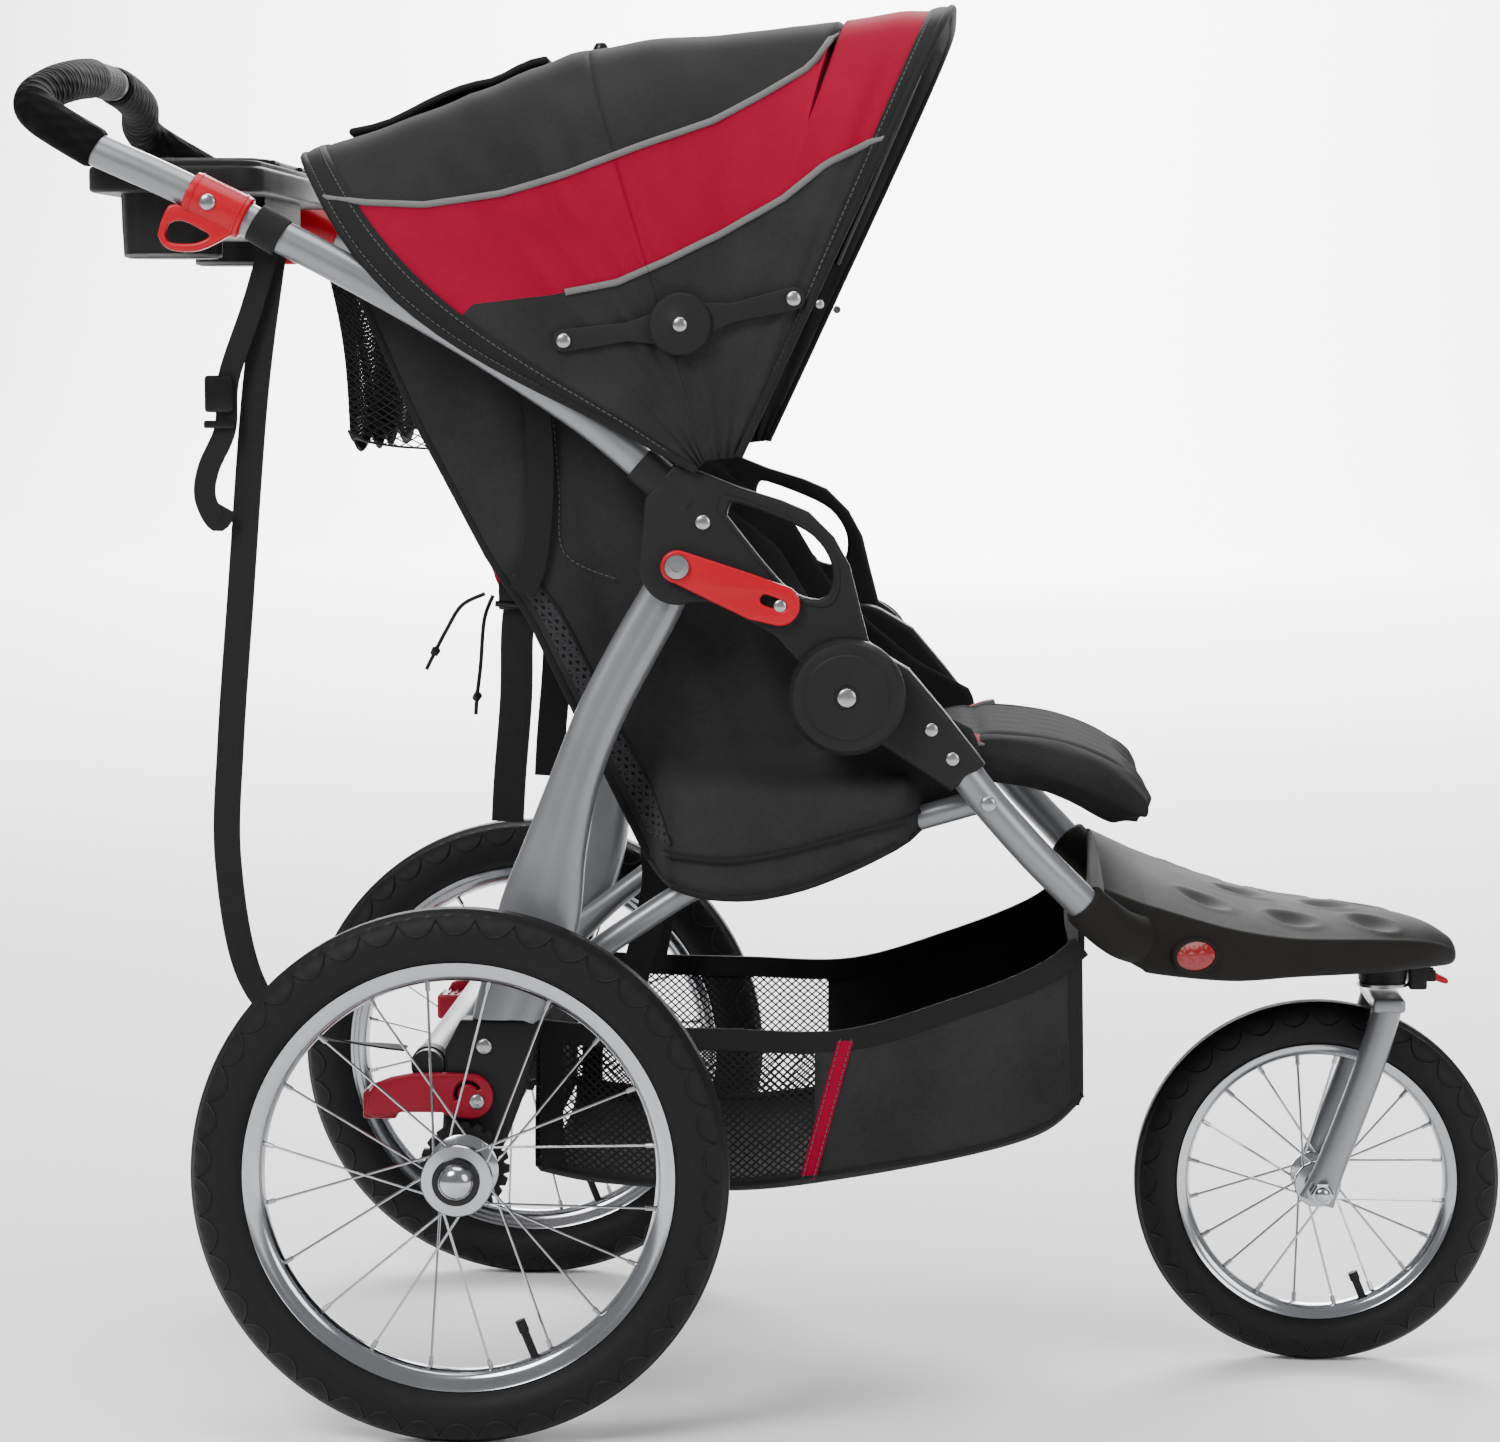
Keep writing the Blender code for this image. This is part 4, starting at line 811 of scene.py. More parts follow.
mount = slab("lock_bracket", (0.7375, 0.752), (-0.0115, 0.0115), (0.3045, 0.3245), BLACK,
             "front_frame", 0.0028, 4)
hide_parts("swivel_lock_bracket")
for tag, s in SIDES:
    slab("lock_ear_" + tag, (0.7505, 0.759), (s * 0.0072 - 0.0018, s * 0.0072 + 0.0018),
         (0.311, 0.3205), BLACK, "front_frame", 0.0012)
outline = eased([(0.7535, 0.313), (0.756, 0.3122), (0.768, 0.3085), (0.769, 0.3125),
                 (0.762, 0.316), (0.758, 0.3185), (0.7535, 0.318)])
lever = plate("lock_lever", [outline], -0.0045, 0.0045, RED, "swivel_lever", 0.001, segments=3)
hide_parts("swivel_lock_lever")

# ---- footrest and reflectors --------------------------------------------------------------
# x, half width, top and underside
FOOT = ((0.484, 0.2, 0.423, 0.364), (0.512, 0.185, 0.411, 0.346),
        (0.525, 0.178, 0.406, 0.34), (0.585, 0.152, 0.386, 0.331),
        (0.64, 0.128, 0.375, 0.331), (0.7, 0.098, 0.369, 0.33),
        (0.745, 0.06, 0.36, 0.329), (0.768, 0.028, 0.348, 0.327),
        (0.774, 0.015, 0.34, 0.33))
DIMPLES = [(x, s * y) for x, y in ((0.566, 0.092), (0.637, 0.078), (0.702, 0.054))
           for _, s in SIDES] + [(0.6, 0.0), (0.67, 0.0)]


def dimple(x, y):
    """Shallow round hollow with a raised lip."""
    d = min(math.hypot(x - a, y - b) for a, b in DIMPLES) / 0.0215
    hollow = -0.0055 * (1 - d * d) ** 2 if d < 1 else 0.0
    return hollow + 0.0012 * math.exp(-((d - 1.05) / 0.16) ** 2)


rings = []
for x, w, top, low in along(FOOT, 12):
    drop = 0.013 * min(1, (top - low) / 0.045)
    e = min(0.006, w * 0.3, (top - low) * 0.3)
    ring = []
    for k in range(61):
        f = -1 + 2 * k / 60
        y = f * (w - e)
        ring.append((y, top - drop * abs(f) ** 2.4 + dimple(x, y)))
    for a in range(1, 6):
        f = math.radians(90 - 18 * a)
        ring.append((w - e + e * math.cos(f), top - drop - e + e * math.sin(f)))
    e *= 1.4
    for a in range(5):
        f = math.radians(-18 * a - 9)
        ring.append((w - e + e * math.cos(f), low + e + e * math.sin(f)))
    inner = w - 0.016 if w > 0.03 else w * 0.4
    ring += [(inner, low), (-inner, low)] + [(-y, z) for y, z in ring[70:60:-1]]
    rings.append([at(x, y, z) for y, z in ring])
foot = finish_mesh("footrest_deck", ring_form(rings), DECK, "front_frame", 32)
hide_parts("footrest")
slope = math.atan2(0.026, 0.06)
for tag, s in SIDES:
    out = Vector((math.sin(slope), s * math.cos(slope), 0))
    turn = (Matrix.Rotation(-s * slope, 4, "Z") @ Matrix.Rotation(-s * math.pi / 2, 4, "X")
            @ Matrix.Diagonal((1, 0.68, 1, 1)))
    for part, prof, mat in (("lens", [(0, 0.0036), (0.01, 0.0034), (0.0165, 0.0022),
                                      (0.0172, 0.0008), (0, 0.0008)], LENS),
                            ("rim", [(0.0168, 0.003), (0.0192, 0.0026), (0.0205, 0.0006),
                                     (0.0205, -0.0014), (0.0168, -0.0014)], DECK)):
        where = at(0.555, s * 0.165, 0.354) + out * 0.001
        piece = turned("reflector_%s_%s" % (part, tag), prof, mat, "front_frame", 56,
                       Matrix.Translation(where) @ turn)
        if part == "lens":
            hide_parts("reflector_" + tag)


# ---- wheels -------------------------------------------------------------------------------
EDGE_BLOCK, SHOULDER_CUT, GROOVE = 0.0016, 0.0014, 0.0013     # depths in the tread


def mirrored(half, middle=()):
    """A profile that runs back down the other side as a mirror image."""
    return [*half, *middle, *((r, -h) for r, h in half[::-1])]


def wheel(tag, body, centre, side, radius, rim_r, half, lugs):
    """Tyre with a moulded tread and wire beads, deep chrome rim and valve; spokes() adds the laced
    spokes and nipples.
    """
    mid_r = (radius + rim_r) / 2
    tall = (radius - rim_r) / 2 * 1.04
    prof = []
    for k in range(26):
        f = math.radians(-148 + 296 * k / 25)
        prof.append((min(radius, mid_r + tall * signed(math.cos(f), 0.9)),
                     half * signed(math.sin(f), 0.95)))
    prof += [(rim_r * 0.985, half * 0.28), (rim_r * 0.985, -half * 0.28)]

    def tread(i, j, r, h):
        """Edge blocks, shoulder cuts and two grooves, cut into the rows on the tread."""
        if 4 <= j <= 21:
            edge = abs(j - 12.5)
            if edge > 5.5:
                r -= EDGE_BLOCK if i % 4 < 2 else 0
            elif edge > 3.5:
                r -= SHOULDER_CUT if (i + 2) % 4 < 1 else 0
            elif 1.5 < edge < 2.6:
                r -= GROOVE
        return r, h

    tyre = lathe("tyre_casing_" + tag, prof, centre, side, TYRE, body, lugs * 4, warp=tread,
                 smooth_angle=30)
    for k, h in enumerate((0.62, -0.62)):
        lathe("tyre_bead_%s_%d" % (tag, k), [
            (rim_r * 1.055, half * h * 1.02), (rim_r * 1.075, half * h * 1.12),
            (rim_r * 1.095, half * h * 1.1), (rim_r * 1.095, half * h * 0.95),
            (rim_r * 1.055, half * h * 0.9)], centre, side, TYRE, body, 120)
    arcs, n = bmesh.new(), lugs // 2
    for i in range(n):
        for way in (1, -1):
            pts = []
            for k in range(9):
                a = 2 * math.pi * (i + k / 8) / n
                r = radius - 0.0065 - 0.011 * math.sin(math.pi * k / 8) ** 0.7
                c = max(0, (r - mid_r) / tall) ** (1 / 0.9)
                h = half * (1 - c * c) ** 0.475
                pts.append(Vector(centre) + Vector((math.cos(a) * r, way * h, math.sin(a) * r)))
            sweep_into(arcs, pts, circle(0.0011, 4), n=1, closed_ends=False)
    finish_mesh("tyre_scallops_" + tag, arcs, TYRE, body, 60)
    w = half * 0.62
    half_rim = [(rim_r * r, w * h) for r, h in (
        (1.012, 1), (1.018, 0.93), (1.01, 0.86), (0.985, 0.8), (0.958, 0.74), (0.935, 0.55),
        (0.922, 0.25))]
    lathe("rim_" + tag, mirrored(half_rim, [(rim_r * 0.918, 0)]), centre, side, CHROME, body, 120)
    valve = bmesh.new()
    a = math.radians(-68)
    d = Vector((math.cos(a), 0, math.sin(a)))
    for r, k0, k1 in ((0.0032, 0.79, 0.93), (0.004, 0.74, 0.8)):
        sweep_into(valve, [Vector(centre) + d * rim_r * k0, Vector(centre) + d * rim_r * k1],
                   circle(r, 14), n=1)
    finish_mesh("valve_" + tag, valve, RUBBER, body)
    return tyre


def spokes(tag, body, centre, side, hub_r, hub_h, rim_r, count=20):
    """Laced wires from the hub flanges to the rim, with a nipple at one end and a head at the
    other."""
    wires, ends = bmesh.new(), bmesh.new()
    for i in range(count):
        a = 2 * math.pi * (i + 0.5) / count
        lean = 0.62 if i % 4 < 2 else -0.62
        h = hub_h if i % 2 else -hub_h
        p = Vector(centre) + Vector((math.cos(a + lean) * hub_r, h * side,
                                     math.sin(a + lean) * hub_r))
        tip = Vector((math.cos(a), 0, math.sin(a)))
        q = Vector(centre) + tip * rim_r + Vector((0, h * side * 0.12, 0))
        sweep_into(wires, [p, q], circle(0.001, 8), (0, 1, 0.01), 1)
        u = (q - p).normalized()
        sweep_into(ends, [q - u * 0.0085, q + u * 0.004], circle(0.0019, 8), (0, 1, 0.01), 1)
        head = Vector((0, math.copysign(0.0014, h) * side, 0))
        sweep_into(ends, [p - head * 1.6, p + head * 1.3], circle(0.0019, 8), (0, 0, 1), 1)
    finish_mesh("spoke_wires_" + tag, wires, CHROME, body)
    finish_mesh("spoke_nipples_" + tag, ends, STEEL, body)


HUB_REAR = [(0.0064, 0.0285), (0.015, 0.0285), (0.017, 0.0275), (0.017, 0.025),
            (0.0262, 0.0243), (0.027, 0.0235), (0.027, 0.0205), (0.0262, 0.0198),
            (0.0165, 0.0185), (0.0142, 0.015), (0.0132, 0.006), (0.0132, -0.006),
            (0.0142, -0.015), (0.0165, -0.0185), (0.0262, -0.0198), (0.027, -0.0205),
            (0.027, -0.0235), (0.0262, -0.0243), (0.02, -0.027), (0.0064, -0.0285)]
for tag, s in SIDES:
    body = "rear_wheel_" + tag
    c = at(0, s * 0.29, REAR_AXLE_Z)
    tyre = wheel("rear_" + tag, body, c, s, radius=REAR_AXLE_Z, rim_r=0.1606, half=0.023, lugs=84)
    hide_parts("rear_tyre_" + tag)
    spokes("rear_" + tag, body, c, s, hub_r=0.024, hub_h=0.0221, rim_r=0.15)
    hub = lathe("hub_shell_rear_" + tag, HUB_REAR, c, s, CHROME, body, 64)
    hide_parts("rear_wheel_" + tag)
    lathe("hub_dust_ring_" + tag, [(0.014, 0.0275), (0.0172, 0.0275), (0.018, 0.0288),
                                   (0.0175, 0.03), (0.014, 0.0302)], c, s, GLOSS, body, 48)
    lathe("hub_dome_" + tag, [(0, 0.0384), (0.005, 0.038), (0.009, 0.0364), (0.0122, 0.0336),
                              (0.014, 0.0304), (0.0145, 0.028), (0, 0.028)], c, s, CHROME,
          body, 48)

    def notch(i, j, r, h):
        """Gaps around the brake ring for the pedal's catch."""
        return (r - 0.0038 if j in (1, 2) and i % 6 in (2, 3) else r), h

    lathe("brake_ring_" + tag, [(0.019, -0.0286), (0.034, -0.0286), (0.034, -0.0341),
                                (0.019, -0.0341)], c, s, BLACK, body, 120, warp=notch,
          smooth_angle=25)
HUB_FRONT = mirrored([(0.0055, 0.03), (0.0095, 0.03), (0.011, 0.0285), (0.0112, 0.024),
                      (0.018, 0.0228), (0.0187, 0.022), (0.0187, 0.0198), (0.018, 0.019),
                      (0.012, 0.0178), (0.0102, 0.014)], [(0.0098, 0)])
c = at(axle_x, 0, axle_z)
tyre = wheel("front", "front_wheel", c, -1, radius=axle_z, rim_r=0.1115, half=0.021, lugs=62)
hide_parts("front_tyre")
spokes("front", "front_wheel", c, -1, hub_r=0.0164, hub_h=0.0208, rim_r=0.104)
hub = lathe("hub_shell_front", HUB_FRONT, c, -1, CHROME, "front_wheel", 64)
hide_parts("front_wheel")

# ---- soft goods helpers -------------------------------------------------------------------
def swell(name, bm, mat, body, crease, voxel=0.006, pressure=4.0, cap=0.0055, frames=18):
    """Stuffed piece: remesh the slim form, blow it up as cloth, then press seams into it."""
    if bm.calc_volume(signed=True) < 0:
        bmesh.ops.reverse_faces(bm, faces=bm.faces[:])
    mesh = bpy.data.meshes.new(name)
    bm.to_mesh(mesh)
    bm.free()
    obj = bpy.data.objects.new(name, mesh)
    bpy.context.scene.collection.objects.link(obj)

    def bake(modifier):
        """Take the modifier's result as the mesh."""
        deps = bpy.context.evaluated_depsgraph_get()
        new = bpy.data.meshes.new_from_object(obj.evaluated_get(deps))
        obj.modifiers.remove(modifier)
        obj.data = new

    mod = obj.modifiers.new("remesh", "REMESH")
    mod.mode = "VOXEL"
    mod.voxel_size = voxel
    bake(mod)
    start = [v.co.copy() for v in obj.data.vertices]
    cloth = obj.modifiers.new("cloth", "CLOTH")
    cloth.settings.use_pressure = True
    cloth.settings.uniform_pressure_force = pressure
    cloth.settings.effector_weights.gravity = 0
    cloth.settings.tension_stiffness = 12
    cloth.settings.compression_stiffness = 12
    cloth.settings.bending_stiffness = 0.4
    cloth.point_cache.frame_end = frames
    for f in range(1, frames + 1):
        bpy.context.scene.frame_set(f)
    bake(cloth)
    bpy.context.scene.frame_set(1)
    for v, p in zip(obj.data.vertices, start):
        d = v.co - p
        if d.length > cap:
            v.co = p + d * (cap / d.length)
    obj.data.update()
    normals = [v.normal.copy() for v in obj.data.vertices]
    for v, n in zip(obj.data.vertices, normals):
        v.co += n * crease(v.co.x - SHIFT, v.co.y, v.co.z, n)
    obj.data.materials.clear()
    obj.data.materials.append(mat)
    obj.data.shade_smooth()
    mod = obj.modifiers.new("round", "SUBSURF")
    mod.levels = mod.render_levels = 1
    if body:
        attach(obj, body)
    return obj


def sheet(name, grid, mats, body, thick=0.0014, pick=None, subdiv=0):
    """Thin cloth through a grid of points; pick(i, j) chooses a face's material."""
    bm = bmesh.new()
    rows = [[bm.verts.new(q) for q in row] for row in grid]
    for i, (a, b) in enumerate(zip(rows, rows[1:])):
        for j in range(len(a) - 1):
            face = bm.faces.new((a[j], a[j + 1], b[j + 1], b[j]))
            if pick:
                face.material_index = pick(i, j)
    mesh = bpy.data.meshes.new(name)
    bmesh.ops.recalc_face_normals(bm, faces=bm.faces[:])
    bm.to_mesh(mesh)
    bm.free()
    for m in mats:
        mesh.materials.append(m)
    mesh.shade_smooth()
    obj = bpy.data.objects.new(name, mesh)
    bpy.context.scene.collection.objects.link(obj)
    solid = obj.modifiers.new("thickness", "SOLIDIFY")
    solid.thickness = thick
    solid.offset = 0
    if subdiv:
        mod = obj.modifiers.new("round", "SUBSURF")
        mod.levels = mod.render_levels = subdiv
    if body:
        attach(obj, body)
    return obj


def stitches(name, points, up, body, spacing=0.0048, length=0.0032, size=0.00045):
    """A row of short raised threads along a line."""
    path = curve_points(points, 6)
    bm = bmesh.new()
    walk, want = 0.0, spacing
    for a, b in zip(path, path[1:]):
        seg = (b - a).length
        while want <= walk + seg and seg > 0:
            p = a.lerp(b, (want - walk) / seg)
            t = (b - a).normalized()
            sweep_into(bm, [p - t * length / 2, p + t * length / 2], circle(size, 5), up, 1)
            want += spacing
        walk += seg
    return finish_mesh(name, bm, THREAD, body, 60)


def path_at(points, t):
    """Point at t of the way along a line of (x, z) corners."""
    lens = [math.dist(a, b) for a, b in zip(points, points[1:])]
    want = t * sum(lens)
    for (a, b), seg in zip(zip(points, points[1:]), lens):
        if want <= seg or b is points[-1]:
            k = min(1, want / seg) if seg else 0
            return a[0] + (b[0] - a[0]) * k, a[1] + (b[1] - a[1]) * k
        want -= seg
    return points[-1]


# ---- seat -----------------------------------------------------------------------------------
def line_gap(x, z, a, b):
    """Distance in the side plane from a segment."""
    d = (b[0] - a[0], b[1] - a[1])
    k = max(0, min(1, ((x - a[0]) * d[0] + (z - a[1]) * d[1]) / (d[0] ** 2 + d[1] ** 2)))
    return math.hypot(x - a[0] - d[0] * k, z - a[1] - d[1] * k)


REAR_EDGE = [(-0.085, 0.864), (-0.037, 0.758), (0.015, 0.66), (0.046, 0.614),
             (0.091, 0.522), (0.137, 0.43)]
FRONT_EDGE = [(-0.07, 0.868), (0.0, 0.829), (0.11, 0.76), (0.185, 0.708),
              (0.235, 0.67), (0.262, 0.625), (0.3, 0.585), (0.34, 0.553),
              (0.385, 0.53), (0.392, 0.5), (0.385, 0.481)]
# soft folds of the side cloth: from, to, height and width
FOLDS = (((0.205, 0.64), (0.265, 0.455), 0.0055, 0.014),
         ((0.185, 0.61), (0.225, 0.47), -0.004, 0.012),
         ((0.11, 0.745), (0.17, 0.56), 0.005, 0.013),
         ((0.085, 0.7), (0.12, 0.56), -0.003, 0.012),
         ((0.29, 0.57), (0.3, 0.47), 0.0035, 0.012),
         ((0.02, 0.78), (0.06, 0.64), 0.0035, 0.016),
         ((0.24, 0.6), (0.33, 0.48), -0.0025, 0.01))


def skirt(x):
    """How far the hanging part of the side cloth stands out over the link, from 0 to 1."""
    return ease((x - 0.134) / 0.026) * ease((0.35 - x) / 0.02)


for tag, s in SIDES:
    grid = []
    for i in range(71):
        u = i / 70
        a, b = path_at(REAR_EDGE, u), path_at(FRONT_EDGE, u)
        row = []
        for j in range(51):
            v = j / 50
            x = a[0] + (b[0] - a[0]) * v
            z = a[1] + (b[1] - a[1]) * v - 0.04 * math.sin(math.pi * v ** 0.75) * u ** 8
            out = 0.1913 + 0.0035 * math.sin(math.pi * v) * math.sin(math.pi * min(1, u * 1.1))
            free = max(0, min(1, (z - 0.485) / 0.06))
            for p, q, h, w in FOLDS:
                out += free * h * math.exp(-(line_gap(x, z, p, q) / w) ** 2)
            out += free * 0.001 * math.sin(70 * x + 34 * z) * math.sin(45 * z - 20 * x)
            low = max(0, min(1, (0.452 - z + 0.24 * (x - 0.25)) / 0.02))
            out += 0.0012 * low * (1 + 0.6 * math.sin(150 * x))
            over = skirt(x) * ease((0.515 - z) / 0.03)
            row.append(at(x, s * (out + 0.0535 * over), z))
        grid.append(row)
    # faces picked 1 form the mesh window, drawn opaque with painted shade in its holes
    panel = sheet("side_cloth_" + tag, grid, (CLOTH, MESH), "upper_frame", 0.0012,
                  lambda i, j: 1 if 34 < i < 66 and 1 < j < 6 else 0)
    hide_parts("side_panel_" + tag)
    soft = [panel]
    border = [row[6] + Vector((0, s * 0.0008, 0)) for row in grid[34:67:2]]
    run = [(0.15, 0.44), (0.197, 0.4355), (0.24, 0.442), (0.29, 0.4555),
           (0.34, 0.469), (0.383, 0.481)]
    piping = [at(x, s * (0.1932 + 0.0545 * skirt(x)), z) for x, z in curve_flat(run)]
    run = ((0.05, 0.8), (0.055, 0.728), (0.05, 0.662), (0.04, 0.635))
    for name, line, section, mat, n in (
            ("side_rear_binding_", [row[0] for row in grid[::2]], circle(0.0032, 10, 0.55), BIND,
             1),
            ("side_mesh_border_", border, circle(0.0016, 8), BIND, 1),
            ("skirt_piping_", piping, circle(0.0019, 12), BIND, 6),
            ("skirt_hem_", grid[70][::2], circle(0.0026, 10, 0.7), BIND, 1),
            ("side_webbing_", side_run(run, s * 0.2025), flat(0.02, 0.0013), WEB, 6)):
        soft.append(sweep(name + tag, line, section, mat, "upper_frame", n=n))
    run = ((0.062, 0.79), (0.068, 0.715), (0.072, 0.665), (0.112, 0.645))
    soft.append(stitches("side_seam_" + tag, side_run(run, s * 0.1966), (0, 1, 0), "upper_frame"))
    for piece in soft:
        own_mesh(piece)

LEAN = math.radians(116.4)
UPWARD = Vector((math.cos(LEAN), 0, math.sin(LEAN)))
FORWARD = Vector((math.sin(LEAN), 0, -math.cos(LEAN)))
PIVOT = at(0.146, 0, 0.437)


def on_back(u, v, y):
    """Point of the seat back: u up along it, v forward of its middle plane."""
    return PIVOT + UPWARD * u + FORWARD * v + Vector((0, y, 0))


rings = []
for i in range(25):
    u = -0.004 + 0.398 * i / 24
    h = 0.012 * (1 - 0.45 * max(0, (u - 0.34) / 0.06))
    ring = []
    for k in range(48):
        f = 2 * math.pi * k / 48
        y = 0.176 * signed(math.cos(f), 0.3)
        wrap = 0.012 * abs(y / 0.176) ** 4 if u > 0.05 else 0
        ring.append(on_back(u, h * signed(math.sin(f), 0.6) + wrap, y))
    rings.append(ring)


def back_seams(x, y, z, n):
    """Depth of the sewn channels on the front of the seat back."""
    u = (Vector((x + SHIFT, 0, z)) - PIVOT).dot(UPWARD)
    if n.dot(FORWARD) < 0.2:
        return 0
    deep = 0
    for line in (0.085, 0.165, 0.245, 0.32):
        deep += math.exp(-((u - line) / 0.0042) ** 2) * (1 if abs(y) < 0.118 else 0.15)
    deep += math.exp(-((abs(y) - 0.122) / 0.004) ** 2) * (1 if 0.03 < u < 0.36 else 0.2)
    return -0.0045 * min(1, deep)


back = swell("back_cushion", ring_form(rings), PAD, "seat_back", back_seams)
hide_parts("seat_back")

# x, z and half thickness of the seat pad, from the back to the end of its calf flap
SEAT_LINE = ((0.164, 0.444, 0.0125), (0.2, 0.454, 0.015), (0.26, 0.472, 0.016),
             (0.32, 0.489, 0.016), (0.36, 0.499, 0.0165), (0.39, 0.504, 0.017),
             (0.42, 0.502, 0.0185), (0.45, 0.496, 0.0205), (0.475, 0.486, 0.022),
             (0.496, 0.474, 0.0225), (0.51, 0.464, 0.0195), (0.519, 0.459, 0.013))
line = along(SEAT_LINE, 5)
rings = []
for i, (x, z, h) in enumerate(line):
    p, q = line[max(i - 1, 0)], line[min(i + 1, len(line) - 1)]
    t = Vector((q[0] - p[0], 0, q[1] - p[1])).normalized()
    up = Vector((-t.z, 0, t.x))
    wide = 0.179 if x < 0.4 else 0.176
    h *= 0.82
    ring = []
    for k in range(48):
        f = 2 * math.pi * k / 48
        ring.append(at(x, wide * signed(math.cos(f), 0.28), z)
                    + up * h * signed(math.sin(f), 0.6))
    rings.append(ring)


def seat_seams(x, y, z, n):
    """Depth of the sewn channels, the puckers and the pinched edge of the seat pad."""
    deep = 0
    if n.z > 0.1 or n.x > 0.3:
        for line in (0.245, 0.315, 0.385):
            deep += math.exp(-((x - line) / 0.0045) ** 2) * (1 if abs(y) < 0.125 else 0.5)
        deep += math.exp(-((abs(y) - 0.128) / 0.0042) ** 2)
    front = max(0, min(1, (x - 0.4) / 0.08))
    near = max(0, min(1, (abs(y) - 0.145) / 0.03), min(1, (x - 0.485) / 0.03))
    pucker = 0.0013 * math.sin(150 * y) * math.sin(95 * x) * (0.2 + 1.2 * front * near)
    edge = min(1, math.exp(-((abs(y) - 0.178) / 0.01) ** 2)
               + math.exp(-((x - 0.519) / 0.01) ** 2))
    middle = 0.504 - 0.4 * max(0, x - 0.4)
    pinch = math.exp(-((z - middle) / 0.0035) ** 2) * edge * (x > 0.37)
    pinch *= 1 + 0.5 * math.sin(210 * y) * math.sin(170 * x)
    return -0.0042 * min(1, deep) + pucker - 0.0045 * pinch


cushion = swell("seat_cushion", ring_form(rings), PAD, None, seat_seams)
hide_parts("seat_base", "calf_pad")
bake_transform(cushion)
skin = BVHTree.FromPolygons([v.co for v in cushion.data.vertices],
                            [list(f.vertices) for f in cushion.data.polygons])
for tag, s in SIDES:
    where, normal = skin.ray_cast(at(0.386, s * 0.144, 0.6), Vector((0, 0, -1)))[:2]
    for part, k, mat, lift in (("trim", 1.0, PIPING, -0.0012), ("patch", 0.84, CRIMSON, -0.0006)):
        profile = [(0, 0.002), (0.01 * k, 0.0019), (0.0175 * k, 0.0012), (0.019 * k, 0.0002),
                   (0.019 * k, -0.006), (0, -0.006)]
        turn = normal.to_track_quat("Z", "X").to_matrix().to_4x4()
        turned("seat_%s_%s" % (part, tag), profile, mat, "seat_frame", 40,
               Matrix.Translation(where + normal * lift) @ turn @ Matrix.Diagonal((1, 0.62, 1, 1)))

# ---- harness and rear webbing ---------------------------------------------------------------
PAD_SECTION = [(0.021 * signed(math.cos(f), 0.4), 0.005 * signed(math.sin(f), 0.7))
               for f in [math.pi * k / 12 for k in range(24)]]
for tag, s in SIDES:
    run = [on_back(0.3, 0.016, s * 0.052), on_back(0.29, 0.024, s * 0.052),
           on_back(0.2, 0.027, s * 0.05), on_back(0.12, 0.032, s * 0.04),
           on_back(0.075, 0.046, s * 0.02)]
    sweep("shoulder_strap_" + tag, run, flat(0.025, 0.0016), WEB, "seat_back", up=FORWARD, n=6)
    run = [on_back(0.285, 0.0265, s * 0.052), on_back(0.2, 0.029, s * 0.05),
           on_back(0.15, 0.031, s * 0.046)]
    pad = sweep("shoulder_pad_" + tag, run, PAD_SECTION, CLOTH, "seat_back", up=FORWARD, n=6)
    sweep("lap_strap_" + tag, [on_back(0.03, 0.02, s * 0.15), on_back(0.04, 0.032, s * 0.1),
                               on_back(0.062, 0.046, s * 0.02)], flat(0.025, 0.0016), WEB,
          "seat_back", up=FORWARD, n=6)
bm = bmesh.new()
bmesh.ops.create_cube(bm, size=1)
bmesh.ops.scale(bm, vec=(0.016, 0.05, 0.048), verts=bm.verts)
bmesh.ops.bevel(bm, geom=bm.edges[:], offset=0.006, segments=3, affect="EDGES")
bmesh.ops.transform(bm, matrix=Matrix.Translation(on_back(0.07, 0.05, 0))
                    @ Matrix.Rotation(-(LEAN - math.pi / 2), 4, "Y"), verts=bm.verts)
finish_mesh("harness_buckle", bm, BLACK, "seat_back")
lathe("harness_button", [(0, 0.0032), (0.0085, 0.0028), (0.01, 0.001), (0.01, -0.002),
                         (0, -0.002)], on_back(0.072, 0.0585, 0), 1, RED, "seat_back", 36, "X")

# drawstring sleeve, its cords, and the adjuster webbing behind the seat
rings = []
for i in range(15):
    t = i / 14
    mid = on_back(0.245 - 0.024 * t, -0.021 - 0.005 * math.sin(math.pi * t), -0.15 + 0.02 * t)
    r = 0.0145 * (0.7 + 0.5 * math.sin(math.pi * (0.15 + 0.7 * t)))
    rings.append([mid + UPWARD * (r * math.cos(f) * (1 + 0.14 * math.sin(5 * f + 6 * t)))
                  + Vector((0, r * 0.95 * math.sin(f) * (1 + 0.1 * math.sin(4 * f)), 0))
                  for f in [2 * math.pi * k / 28 for k in range(28)]])
finish_mesh("drawstring_sleeve", ring_form(rings), CRIMSON, "seat_back", 70)
sweep("drawstring_tab", [on_back(0.236, -0.02, -0.14), on_back(0.235, -0.008, -0.139),
                         on_back(0.233, 0.006, -0.138)], flat(0.022, 0.0016), CRIMSON,
      "seat_back", n=3)
DRAW_CORDS = (((0.006, 0.631), (-0.012, 0.622), (-0.024, 0.603), (-0.033, 0.586),
               (-0.04, 0.572)),
              ((0.011, 0.629), (0.004, 0.61), (0.001, 0.575), (-0.002, 0.55),
               (-0.003, 0.536)))
